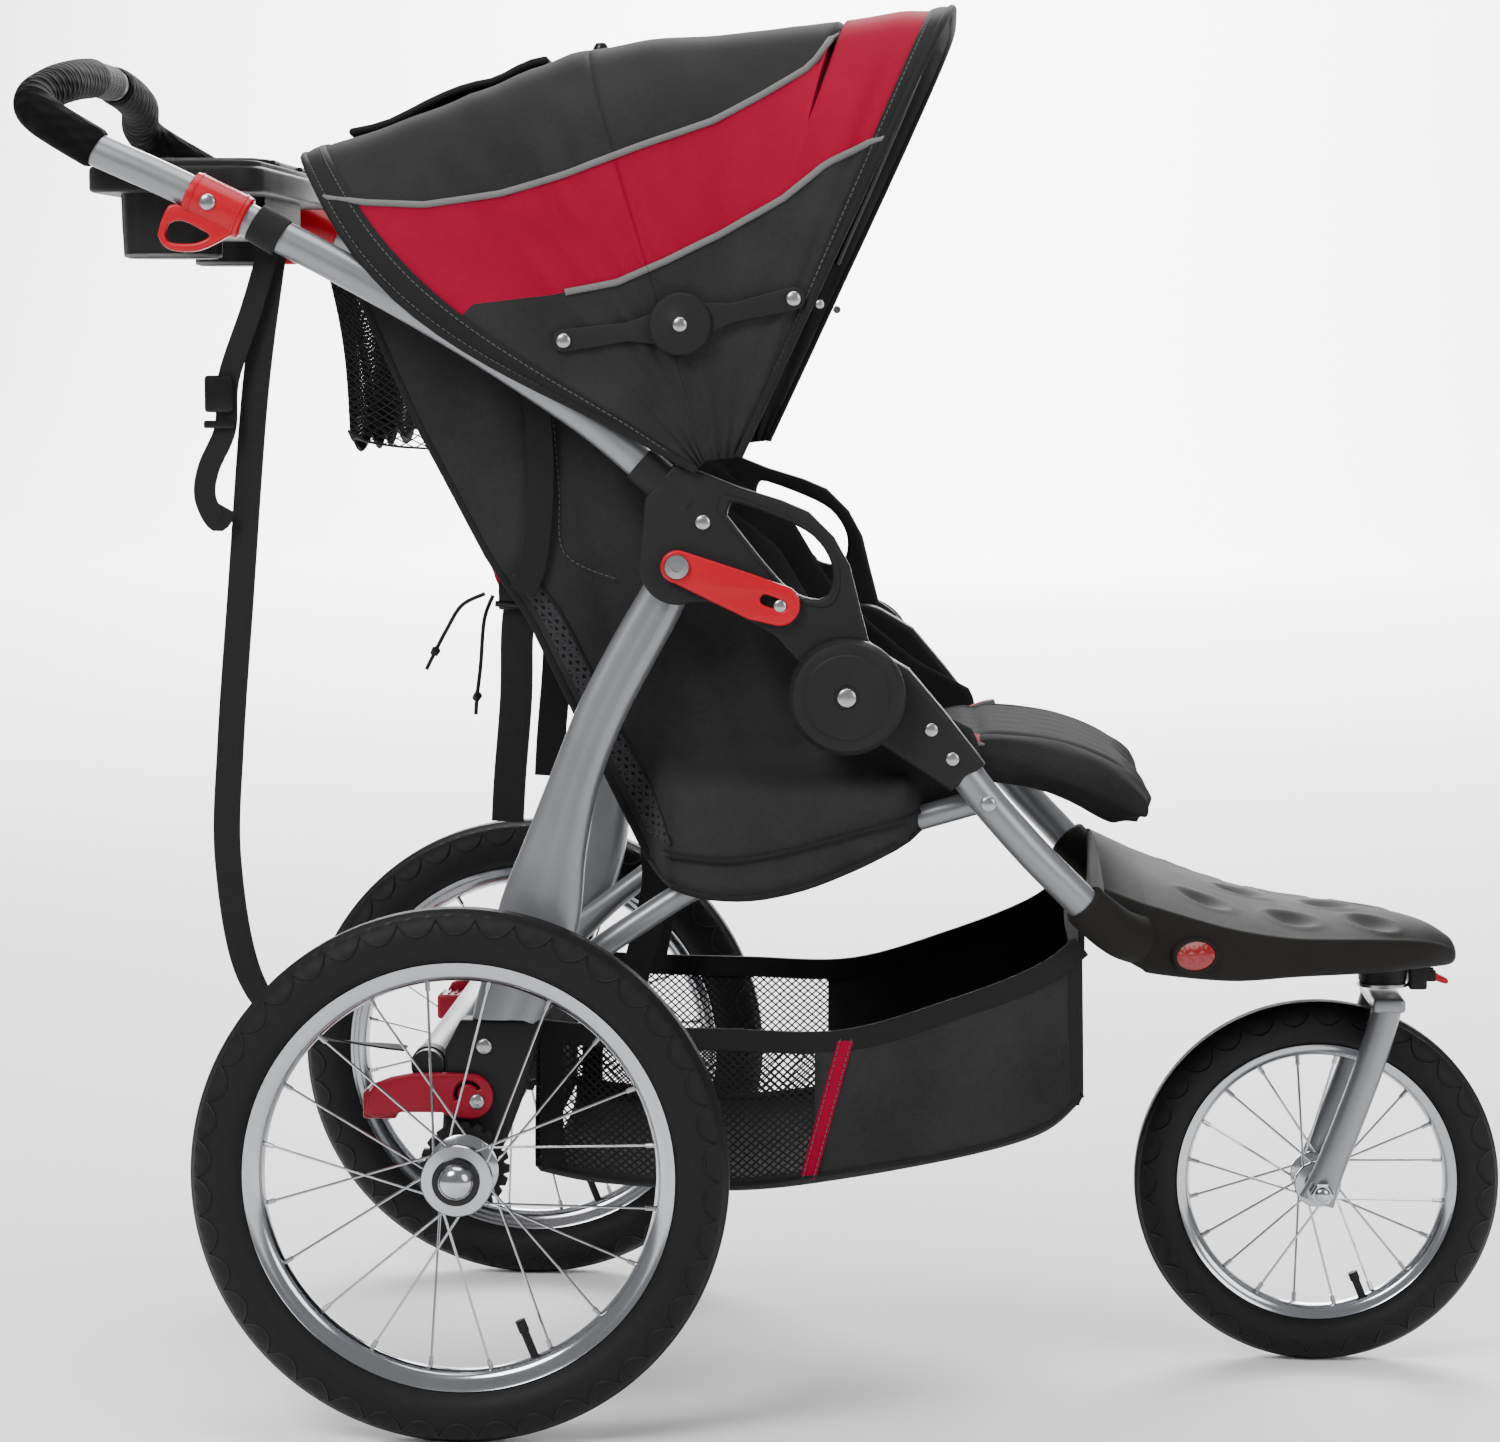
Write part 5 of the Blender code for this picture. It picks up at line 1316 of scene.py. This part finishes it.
for k, run in enumerate(DRAW_CORDS):
    pts = side_run(run, -0.15 + 0.012 * k)
    cord = tube("draw_cord_%d" % k, pts, 0.0016, WEB, "seat_back", n=6, sides=10)
    knot = bmesh.new()
    bmesh.ops.create_icosphere(knot, subdivisions=3, radius=0.0036)
    for v in knot.verts:
        f = math.atan2(v.co.y, v.co.x) + 260 * v.co.z
        v.co *= 1 + 0.16 * math.sin(3 * f)
    bmesh.ops.translate(knot, vec=pts[-2], verts=knot.verts)
    knot = finish_mesh("draw_knot_%d" % k, knot, WEB, "seat_back", 80)
    way = curve_points(pts, 12)
    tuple(pts[0])
for tag, s in SIDES:
    run = ((0.036, 0.63), (0.033, 0.6), (0.032, 0.552), (0.027, 0.491),
           (0.025, 0.456))
    drop = sweep("adjuster_webbing_" + tag, side_run(run, s * 0.172), flat(0.025, 0.0015), WEB,
                 "upper_frame", n=6)
    hold = slab("adjuster_buckle_" + tag, (0.019, 0.053), sorted((s * 0.169, s * 0.176)),
                (0.62, 0.642), GLOSS, "upper_frame", 0.0022)
    bars = rod("adjuster_bar_" + tag, (0.017, s * 0.178, 0.625), (0.055, s * 0.178, 0.622),
               0.0024, GLOSS, "upper_frame", 14)
    for piece in (drop, hold, bars):
        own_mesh(piece)
    run = ((0.137, 0.434), (0.138, 0.405), (0.131, 0.37), (0.122, 0.335),
           (0.115, 0.3))
    strap = sweep("basket_hanger_" + tag, side_run(run, s * 0.15), flat(0.022, 0.0015), WEB,
                  "front_frame", n=6)
    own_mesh(strap)

# net between the top of the seat back and the hood
net = bmesh.new()
ACROSS, DOWN = 64, 22


def net_point(i, j):
    """Corner of the net, which turns forward near both sides and hangs a little in between."""
    v, u = -1 + 2 * i / ACROSS, j / DOWN
    y = math.copysign(0.187 * min(1, abs(v) / 0.84), v)
    side = max(0, (abs(v) - 0.84) / 0.16)
    z = 0.884 - 0.128 * u - 0.012 * u * abs(math.sin(2.5 * math.pi * v))
    back = -0.112 + 0.02 * u + 0.004 * math.sin(math.pi * u) + 0.0015 * math.sin(6 * v + 3 * u)
    x = back + (-0.085 + (0.864 - z) * 0.4528 - back) * side
    return at(x, y, z)


for i in range(ACROSS):
    for j in range(DOWN):
        for p, q in (((i, j), (i + 1, j + 1)), ((i + 1, j), (i, j + 1))):
            sweep_into(net, [net_point(*p), net_point(*q)], circle(0.00062, 3), (1, 0, 0.1), 1,
                       closed_ends=False)
netting = finish_mesh("seat_net", net, BIND, "upper_frame", 80, recalc=False)
bound = sweep("seat_net_hem", [net_point(i, 0) for i in range(0, ACROSS + 1, 2)],
              flat(0.014, 0.0018), BIND, "upper_frame", up=(1, 0, 0.5), n=2)
low_hem = sweep("seat_net_low_hem", [net_point(i, DOWN) for i in range(0, ACROSS + 1, 2)],
                flat(0.008, 0.0016), BIND, "upper_frame", up=(1, 0, 0.5), n=2)
for piece in (netting, bound, low_hem):
    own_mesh(piece)

# ---- hood -----------------------------------------------------------------------------------
# foot and crown of the three bows, and the crown line over them from t = 0 to t = 2
REAR_RIB = ((0.176, 0.73), (-0.134, 0.969))
MID_RIB = ((0.184, 0.737), (0.088, 1.05))
FRONT_RIB = ((0.208, 0.74), (0.366, 1.079))
CROWN = ((-0.134, 0.969), (-0.07, 0.996), (-0.01, 1.024), (0.042, 1.04),
         (0.088, 1.05), (0.165, 1.065), (0.245, 1.076), (0.324, 1.08),
         (0.366, 1.079))
CROWN_STEP = 0.25
# the two piping lines, as height over x
UPPER = [(-0.14, 0.937), (-0.121, 0.935), (-0.074, 0.929), (-0.027, 0.927), (0.03, 0.935),
         (0.075, 0.948), (0.131, 0.969), (0.187, 0.988), (0.225, 1.008), (0.261, 1.03),
         (0.28, 1.059), (0.3, 1.1)]
LOWER = [(-0.14, 0.7), (0.01, 0.853), (0.069, 0.86), (0.117, 0.869), (0.154, 0.885),
         (0.195, 0.905), (0.241, 0.931), (0.272, 0.956), (0.305, 0.972), (0.37, 0.99)]


HOOD_MIDDLE = at(0.1, 0, 0.86)
SUPER = 2 / 5.4     # how boxy a section of the hood is


def height(line, x):
    """Height of a piping line over x."""
    for (a, p), (b, q) in zip(line, line[1:]):
        if x <= b:
            return p + (q - p) * (x - a) / (b - a)
    return line[-1][1]


def hood_rib(t, steps=480):
    """Closed-form section from the near foot over the crown to the far foot."""
    a, b = (REAR_RIB, MID_RIB) if t <= 1 else (MID_RIB, FRONT_RIB)
    k = t if t <= 1 else t - 1
    foot = Vector(a[0]) * (1 - k) + Vector(b[0]) * k
    i = min(int(t / CROWN_STEP), len(CROWN) - 2)
    w = t / CROWN_STEP - i
    crown = Vector(CROWN[i]) * (1 - w) + Vector(CROWN[i + 1]) * w
    rise = crown - foot
    long = rise.length
    rise = rise / long
    sag = math.sin(math.pi * (k if t <= 1 else min(1, k / 0.93))) ** 2
    out = []
    for j in range(steps + 1):
        f = math.pi * j / steps
        c, q = -math.cos(f), math.sin(f)
        y = signed(c, SUPER) * 0.2585
        r = abs(q) ** SUPER * long if 0 < j < steps else 0
        top = (r / long) ** 3
        pull = sag * (0.006 * top * (1 - abs(c) ** 3) + 0.0035 * (r / long))
        fold = 0.0016 * math.sin(26 * t + 9 * (r / long)) * math.sin(8 * (r / long) + 3 * t)
        fold += 0.0012 * math.sin(41 * t + 2.0) * (r / long) * (1 - (r / long) ** 6)
        y -= math.copysign(1, c) * (pull * 0.8 + fold * 0.9) * abs(c) ** 2
        r -= pull * (1 - abs(c) ** 2) + fold * 0.6 * top
        droop = 0.036 * max(0, 1 - t / 0.34) ** 1.5 * math.sin(math.pi * (r / long) ** 1.35)
        droop *= 1 - top ** 4
        out.append(at(foot.x + rise.x * r - rise.y * droop, y,
                      foot.y + rise.y * r + rise.x * droop))
    return out


LOW, BAND, TOP = 16, 12, 20
SPAN = 2 * (LOW + BAND + TOP)
ROWS = 44


def hood_row(t):
    """Points of one section, with rows placed exactly on the two piping lines."""
    pts = hood_rib(t)
    half = len(pts) // 2
    n_low = n_up = None
    for j in range(half + 1):
        x, z = pts[j].x - SHIFT, pts[j].z
        for line, found in ((LOWER, n_low), (UPPER, n_up)):
            if found is None and z >= height(line, x) and j:
                a, b = pts[j - 1], pts[j]
                under = a.z - height(line, a.x - SHIFT)
                over = z - height(line, x)
                if under < 0:
                    pts[j] = a.lerp(b, -under / (over - under))
                if line is LOWER:
                    n_low = j
                else:
                    n_up = j
    n_up = half - 2 if n_up is None else min(n_up, half - 2)
    n_low = max(2, min(n_low or 0, n_up - 4))

    def run(a, b, n):
        """n equal steps from point a to point b."""
        out = []
        lens = [0]
        for j in range(a, b):
            lens.append(lens[-1] + (pts[j + 1] - pts[j]).length)
        for k in range(n):
            want = lens[-1] * k / n
            j = max(i for i in range(len(lens)) if lens[i] <= want + 1e-12)
            j = min(j, len(lens) - 2)
            f = (want - lens[j]) / max(1e-9, lens[j + 1] - lens[j])
            out.append(pts[a + j].lerp(pts[a + j + 1], f))
        return out

    near = run(0, n_low, LOW) + run(n_low, n_up, BAND) + run(n_up, half, TOP) + [pts[half]]
    far = [Vector((p.x, -p.y, p.z)) for p in near[:-1]][::-1]
    return near + far


# from this row of the front sheet on, the crimson band meets over the top
CROSS = ROWS - round(ROWS * (1 - 0.655))


def hood_pick(front):
    """Chooser of the crimson faces of one hood cloth."""
    def pick(i, j):
        k = min(j, SPAN - 1 - j)
        return 1 if k >= LOW and (k < LOW + BAND or front and i >= CROSS) else 0
    return pick


def hood_bend(piece, front):
    """Bake the piece's placement into its mesh; front and rear pieces are treated alike."""
    if front:
        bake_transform(piece)
    else:
        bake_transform(piece)


for name, front, node in (("hood_cloth_rear", False, "hood_rear"),
                          ("hood_cloth_front", True, "hood_front")):
    rows = [hood_row(front + i / ROWS) for i in range(ROWS + 1)]
    cloth = sheet(name, rows, (CLOTH, CRIMSON), None, pick=hood_pick(front))
    hood_bend(cloth, front)
    inner = [[p + (at(0.1, 0, 0.84) - p).normalized() * 0.0034 for p in row[2:-2:2]]
             for row in rows[::2]]
    lining = sheet(name.replace("cloth", "lining"), inner, (CLOTH,), None, 0.0008)
    hood_bend(lining, front)
    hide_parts(node)
    for side, mirror in (("near", False), ("far", True)):
        for line, k in (("upper", LOW + BAND), ("lower", LOW)):
            keep = rows if front or line == "upper" else rows[17:]
            pts = [row[SPAN - k if mirror else k] for row in keep]
            if front and line == "upper":
                pts = pts[:CROSS + 1]
                if not mirror:
                    pts += rows[CROSS][k + 1:SPAN - k + 1]
            lift = Vector((0, 0.0012 if mirror else -0.0012, 0))
            pipe = sweep("hood_piping_%s_%s_%d" % (line, side, front), [p + lift for p in pts],
                         circle(0.0026, 12), PIPING, None, up=(0, 1, 0.2), n=1)
            hood_bend(pipe, front)


def even(pts, n):
    """The same line with n equal steps."""
    far = [0]
    for a, b in zip(pts, pts[1:]):
        far.append(far[-1] + (b - a).length)
    out, j = [], 0
    for k in range(n + 1):
        want = far[-1] * k / n
        while j < len(pts) - 2 and far[j + 1] < want:
            j += 1
        gap = far[j + 1] - far[j]
        out.append(pts[j].lerp(pts[j + 1], min(1, (want - far[j]) / gap if gap else 0)))
    return out


def edge_strip(name, t_a, t_b, front, lift=0.0013, n=4):
    """Wide binding that wraps the hood cloth from foot to foot between two sections."""
    rows = []
    for i in range(n + 1):
        row = even(hood_rib(t_a + (t_b - t_a) * i / n), 110)
        fore = Vector((0.9, 0, 0.1)) if front else Vector((0.35, 0, 0.2))
        crown = math.sin(math.pi * i / n) * 0.0012
        out = []
        for j, p in enumerate(row):
            a, b = row[max(j - 1, 0)], row[min(j + 1, len(row) - 1)]
            t = (b - a).normalized()
            outward = t.cross(fore).normalized()
            if outward.dot(p - HOOD_MIDDLE) < 0:
                outward = -outward
            out.append(p + outward * (lift + crown))
        rows.append(out)
    piece = sheet(name, rows, (BIND,), None, 0.0016)
    hood_bend(piece, front)
    return rows


rear_rows = edge_strip("hood_binding_rear", 0.0, 0.07, False)
front_rows = edge_strip("hood_binding_front", 1.915, 2.0, True)
for name, rows, front in (("rear", rear_rows, False), ("front", front_rows, True)):
    edge_row = rows[0] if not front else rows[-1]
    bead = sweep("hood_bead_" + name, edge_row[::2] + [edge_row[-1]], circle(0.0032, 12), BIND,
                 None, up=(0.3, 0.1, 1), n=1)
    hood_bend(bead, front)
    for k, (a, b) in enumerate(((0, 0.7), (3, 0.2))):
        pts = [p.lerp(q, b) for p, q in zip(rows[a], rows[a + 1])]
        seam = stitches("hood_stitch_%s_%d" % (name, k),
                        [p + (p - HOOD_MIDDLE).normalized() * 0.0011 for p in pts[::2]],
                        (0, 1, 0.1), None)
        hood_bend(seam, front)
for name, t, body in (("hood_bow_rear", 0.16, "upper_frame"), ("hood_bow_mid", 1.0, "hood_mid"),
                      ("hood_bow_front", 1.93, "hood_front")):
    pts = [p + (HOOD_MIDDLE - p).normalized() * 0.01 for p in hood_rib(t, 240)[6:-6:5]]
    bow = sweep(name + "_wire", pts, circle(0.0034, 14), GLOSS, body,
                up=lambda t, p: (p - at(0.1, 0, 0.8)), n=2)
    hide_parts(name)

# roll-up flap on the top, with its toggle
flap = []
for i in range(25):
    u = i / 24
    rib = hood_rib(0.13 + 0.66 * u, 60)
    row = []
    for j in range(25):
        v = -1 + 2 * j / 24
        y = 0.115 * v
        near = min(rib, key=lambda p: abs(p.y - y))
        lift = 0.0045 + 0.006 * math.sin(math.pi * u) ** 2 * (1 - 0.4 * v * v)
        lift += 0.0015 * math.sin(13 * u + 4 * v)
        row.append(Vector((near.x, y, near.z + lift)))
    flap.append(row)
roll = sheet("window_flap", flap, (CLOTH,), None, 0.0022, subdiv=1)
hood_bend(roll, False)
edge_pts = ([flap[i][0] for i in range(0, 25, 2)] + flap[24][2::2]
            + [flap[i][24] for i in range(22, -1, -2)] + flap[0][22:0:-2])
rim = sweep("window_flap_binding", edge_pts, circle(0.0032, 10), BIND, None, up=(0.05, 0.02, 1),
            n=1, loop=True)
hood_bend(rim, False)
lathe("flap_toggle", [(0, 0.008), (0.004, 0.007), (0.0062, 0.003), (0.0055, -0.004),
                      (0.004, -0.008), (0, -0.008)], at(0.09, -0.06, 1.052), 1, GLOSS,
      "hood_mid", 24, "Z")
tube("flap_toggle_cord", [at(0.074, -0.06, 1.042), at(0.082, -0.062, 1.048),
                          at(0.09, -0.06, 1.05), at(0.102, -0.058, 1.047)], 0.0016, WEB,
     "hood_mid", n=6, sides=10)

# hood struts with their round elbow
KNEE_A, KNEE_E, KNEE_B = (0.078, 0.826), (0.165, 0.838), (0.249, 0.857)
for tag, s in SIDES:
    for part, body, p, q, y0, y1 in (("rear", "strut_rear", KNEE_A, KNEE_E, 0.2606, 0.263),
                                     ("front", "strut_front", KNEE_B, KNEE_E, 0.2634, 0.2658)):
        a = math.atan2(q[1] - p[1], q[0] - p[0])
        c, w = math.cos(a), math.sin(a)
        long = math.dist(p, q)
        shape = [(p[0] + c * u - w * v, p[1] + w * u + c * v)
                 for u, v in arc(0, 0, 0.0085, 90, 270, 10) + [
                     (0.55 * long, -0.007), (0.72 * long, -0.011), (long, -0.015),
                     (long, 0.015), (0.72 * long, 0.01), (0.55 * long, 0.007)]]
        bar = plate("strut_%s_%s" % (part, tag), [shape], s * y0, s * y1, BLACK, body, 0.0008)
        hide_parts("hood_strut_%s_%s" % (part, tag))
        rivet("strut_rivet_%s_%s" % (part, tag), p[0], s * (y1 + 0.0004), p[1], s, body, 0.0056,
              0.003)
    lathe("strut_knob_" + tag, [(0, 0.0048), (0.007, 0.0046), (0.008, 0.004), (0.019, 0.0044),
                                (0.0222, 0.0038), (0.0235, 0.002), (0.0235, -0.001),
                                (0, -0.001)], at(KNEE_E[0], s * 0.2658, KNEE_E[1]), s, BLACK,
          "strut_front", 64)
    rivet("strut_knob_rivet_" + tag, KNEE_E[0], s * 0.2704, KNEE_E[1], s, "strut_front", 0.0056,
          0.003)
    rivet("bow_rivet_" + tag, 0.268, s * 0.2592, 0.853, s, "hood_front", 0.0034, 0.002)

# ---- basket ---------------------------------------------------------------------------------
# x, half width, rim height and floor height
RIMS = ((0.048, 0.186, 0.3, 0.175), (0.1, 0.19, 0.296, 0.166),
        (0.194, 0.19, 0.294, 0.16), (0.286, 0.19, 0.294, 0.172),
        (0.377, 0.19, 0.321, 0.188), (0.438, 0.19, 0.346, 0.208),
        (0.468, 0.186, 0.368, 0.233))
basket_rows = along(RIMS, 8)
SIDE_STEPS, FLOOR_STEPS = 18, 16
grid = []
for i, (x, w, top, low) in enumerate(basket_rows):
    u = i / (len(basket_rows) - 1)
    side = []
    for j in range(SIDE_STEPS + 1):
        v = j / SIDE_STEPS
        z = top - (top - low - 0.014) * v
        bulge = 0.0045 * math.sin(math.pi * v) * math.sin(math.pi * u) ** 0.5
        ripple = 0.0012 * math.sin(52 * x + 5 * v) * math.sin(math.pi * v)
        ripple += 0.0016 * math.sin(120 * x) * v ** 2 * (1 - v)
        y = w - 0.006 * v ** 6 + bulge + ripple
        side.append(at(x + 0.004 * (v - 0.3) * (u - 0.5), -y, z))
    floor_row = []
    for j in range(1, FLOOR_STEPS):
        v = -1 + 2 * j / FLOOR_STEPS
        z = low + 0.013 * abs(v) ** 6 + 0.001 * math.sin(30 * x + 4 * v)
        floor_row.append(at(x, (w - 0.006) * v, z))
    far = [Vector((p.x, -p.y, p.z)) for p in side[::-1]]
    grid.append(side + floor_row + far)


def on_side(x, v, s):
    """Point of the side wall at length x; v runs from the rim to the floor edge."""
    best = 0
    while best < len(grid) - 2 and grid[best + 1][0].x - SHIFT < x:
        best += 1
    a, b = grid[best], grid[best + 1]
    w = (x + SHIFT - a[0].x) / (b[0].x - a[0].x)
    f = min(v * SIDE_STEPS, SIDE_STEPS - 1e-6)
    k = int(f)
    p = a[k].lerp(b[k], w).lerp(a[k + 1].lerp(b[k + 1], w), f - k)
    return p if s < 0 else Vector((p.x, -p.y, p.z))


# the sides are open net up to this row, and cloth from there on
cloth_from = max(i for i, row in enumerate(grid) if row[0].x - SHIFT < 0.27)
shell = sheet("basket_shell", grid[cloth_from:], (CLOTH,), "front_frame")
sheet("basket_floor_rear", [row[SIDE_STEPS - 1:SIDE_STEPS + FLOOR_STEPS + 2]
                            for row in grid[:cloth_from + 1]], (CLOTH,), "front_frame")
X0, X1 = grid[0][0].x - SHIFT, grid[cloth_from][0].x - SHIFT
COLS, LEVELS = 62, 38
for tag, s in SIDES:
    net = bmesh.new()
    for i in range(COLS):
        for j in range(LEVELS):
            x0, x1 = (X0 + (X1 - X0) * k / COLS for k in (i, i + 1))
            v0, v1 = j / LEVELS, (j + 1) / LEVELS
            ends = ((x0, v0), (x1, v1)) if (i + j) % 2 else ((x0, v1), (x1, v0))
            sweep_into(net, [on_side(*ends[0], s), on_side(*ends[1], s)], circle(0.00085, 3), n=1,
                       closed_ends=False)
    finish_mesh("basket_net_" + tag, net, BIND, "front_frame", 80, recalc=False)
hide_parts("basket")
for name, row, side in (("front", grid[-1], 1), ("rear", grid[0], -1)):
    wall = []
    for i in range(15):
        u = i / 14
        line = []
        for k in range(SIDE_STEPS + 1):
            hollow = 0.004 * math.sin(math.pi * u) * (1 - k / SIDE_STEPS)
            drop = 0.01 * math.sin(math.pi * u) * (1 - k / SIDE_STEPS) ** 2
            line.append(row[k].lerp(row[-1 - k], u) + Vector((-side * hollow, 0, -drop)))
        wall.append(line)
    sheet("basket_wall_" + name, wall, (CLOTH,), "front_frame")
    sweep("basket_rim_" + name, [line[0] for line in wall], flat(0.005, 0.016), BIND,
          "front_frame", up=(0, 0, 1), n=1)
for tag, s in SIDES:
    index = 0 if s < 0 else -1
    rim = [row[index] + Vector((0, 0, -0.004)) for row in grid]
    sweep("basket_rim_" + tag, rim, flat(0.005, 0.017), BIND, "front_frame", up=(0, 0, 1), n=1)
    lines = (("basket_trim_", 0.258, 0.288, 0.012, CRIMSON, 0.0022),
             ("basket_rear_tape_", 0.06, 0.06, 0.018, BIND, 0.002),
             ("basket_front_tape_", 0.462, 0.462, 0.01, BIND, 0.002))
    for name, x_low, x_top, wide, mat, lift in lines:
        pts = []
        for k in range(SIDE_STEPS + 1):
            x = x_top + (x_low - x_top) * k / SIDE_STEPS
            best = min(range(len(grid) - 1), key=lambda m: abs(grid[m][0].x - SHIFT - x))
            a, b = grid[best], grid[best + 1]
            kk = k if s < 0 else len(a) - 1 - k
            gap = b[kk].x - a[kk].x
            w = (x + SHIFT - a[kk].x) / gap if gap else 0
            pts.append(a[kk].lerp(b[kk], w) + Vector((0, s * lift * 0.5, 0)))
        sweep(name + tag, pts, flat(0.0016, wide), mat, "front_frame", up=(1, 0, 0), n=1)
        if mat is CRIMSON:
            for k, dx in enumerate((-0.0042, 0.0042)):
                stitches("trim_stitch_%s_%d" % (tag, k),
                         [p + Vector((dx, s * 0.0012, 0)) for p in pts], (1, 0, 0), "front_frame")
    low_line = [row[SIDE_STEPS if s < 0 else -1 - SIDE_STEPS] + Vector((0, s * 0.001, 0.001))
                for row in grid]
    sweep("basket_floor_seam_" + tag, low_line, circle(0.0022, 10), BIND, "front_frame",
          up=(0, 0, 1), n=1)

# ---- tether strap ---------------------------------------------------------------------------
run = [(-0.145, 0.212, 0.898), (-0.15, 0.212, 0.87), (-0.162, 0.212, 0.78),
       (-0.174, 0.212, 0.634), (-0.183, 0.212, 0.52), (-0.186, 0.212, 0.43),
       (-0.17, 0.212, 0.34), (-0.13, 0.212, 0.298), (-0.05, 0.212, 0.285)]


def lie(t, p):
    """The webbing faces sideways high up and turns flat where it reaches the cross tube."""
    k = max(0, min(1, (t - 0.72) / 0.25))
    return Vector((0.25 * (1 - k), 1 - k, 0)) + Vector((0.3, 0, 1)) * k


strap = sweep("tether_webbing", on_sides(run, -1), flat(0.022, 0.0015), WEB, "upper_frame",
              up=lie, n=10)
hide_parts("tether_strap")
bits = [strap]
wrap = bmesh.new()
d = Vector((-0.856, 0, 0.517)).normalized()
middle = at(-0.145, -TUBE_Y, 0.9084)
ring = [middle + 0.0142 * Vector((d.z * math.cos(f), math.sin(f), -d.x * math.cos(f)))
        for f in [2 * math.pi * k / 24 for k in range(24)]]
sweep_into(wrap, ring, flat(0.024, 0.0016), lambda t, p: p - middle, 1, loop=True)
finish_mesh("tether_wrap", wrap, WEB, "upper_frame")
run = [(-0.148, 0.896), (-0.162, 0.85), (-0.18, 0.798), (-0.183, 0.76),
       (-0.196, 0.73), (-0.199, 0.708), (-0.19, 0.69), (-0.183, 0.7)]
bits.append(sweep("adjuster_tail", side_run(run, -0.22), flat(0.017, 0.0014), WEB,
                  "upper_frame", up=(0.1, 1, 0), n=8))
bits.append(slab("tether_buckle", (-0.198, -0.176), (-0.226, -0.216), (0.772, 0.8), GLOSS,
                 "upper_frame", 0.003))
bits.append(slab("tether_buckle_bar", (-0.199, -0.175), (-0.225, -0.217), (0.76, 0.766),
                 GLOSS, "upper_frame", 0.0018))
for piece in bits:
    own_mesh(piece)
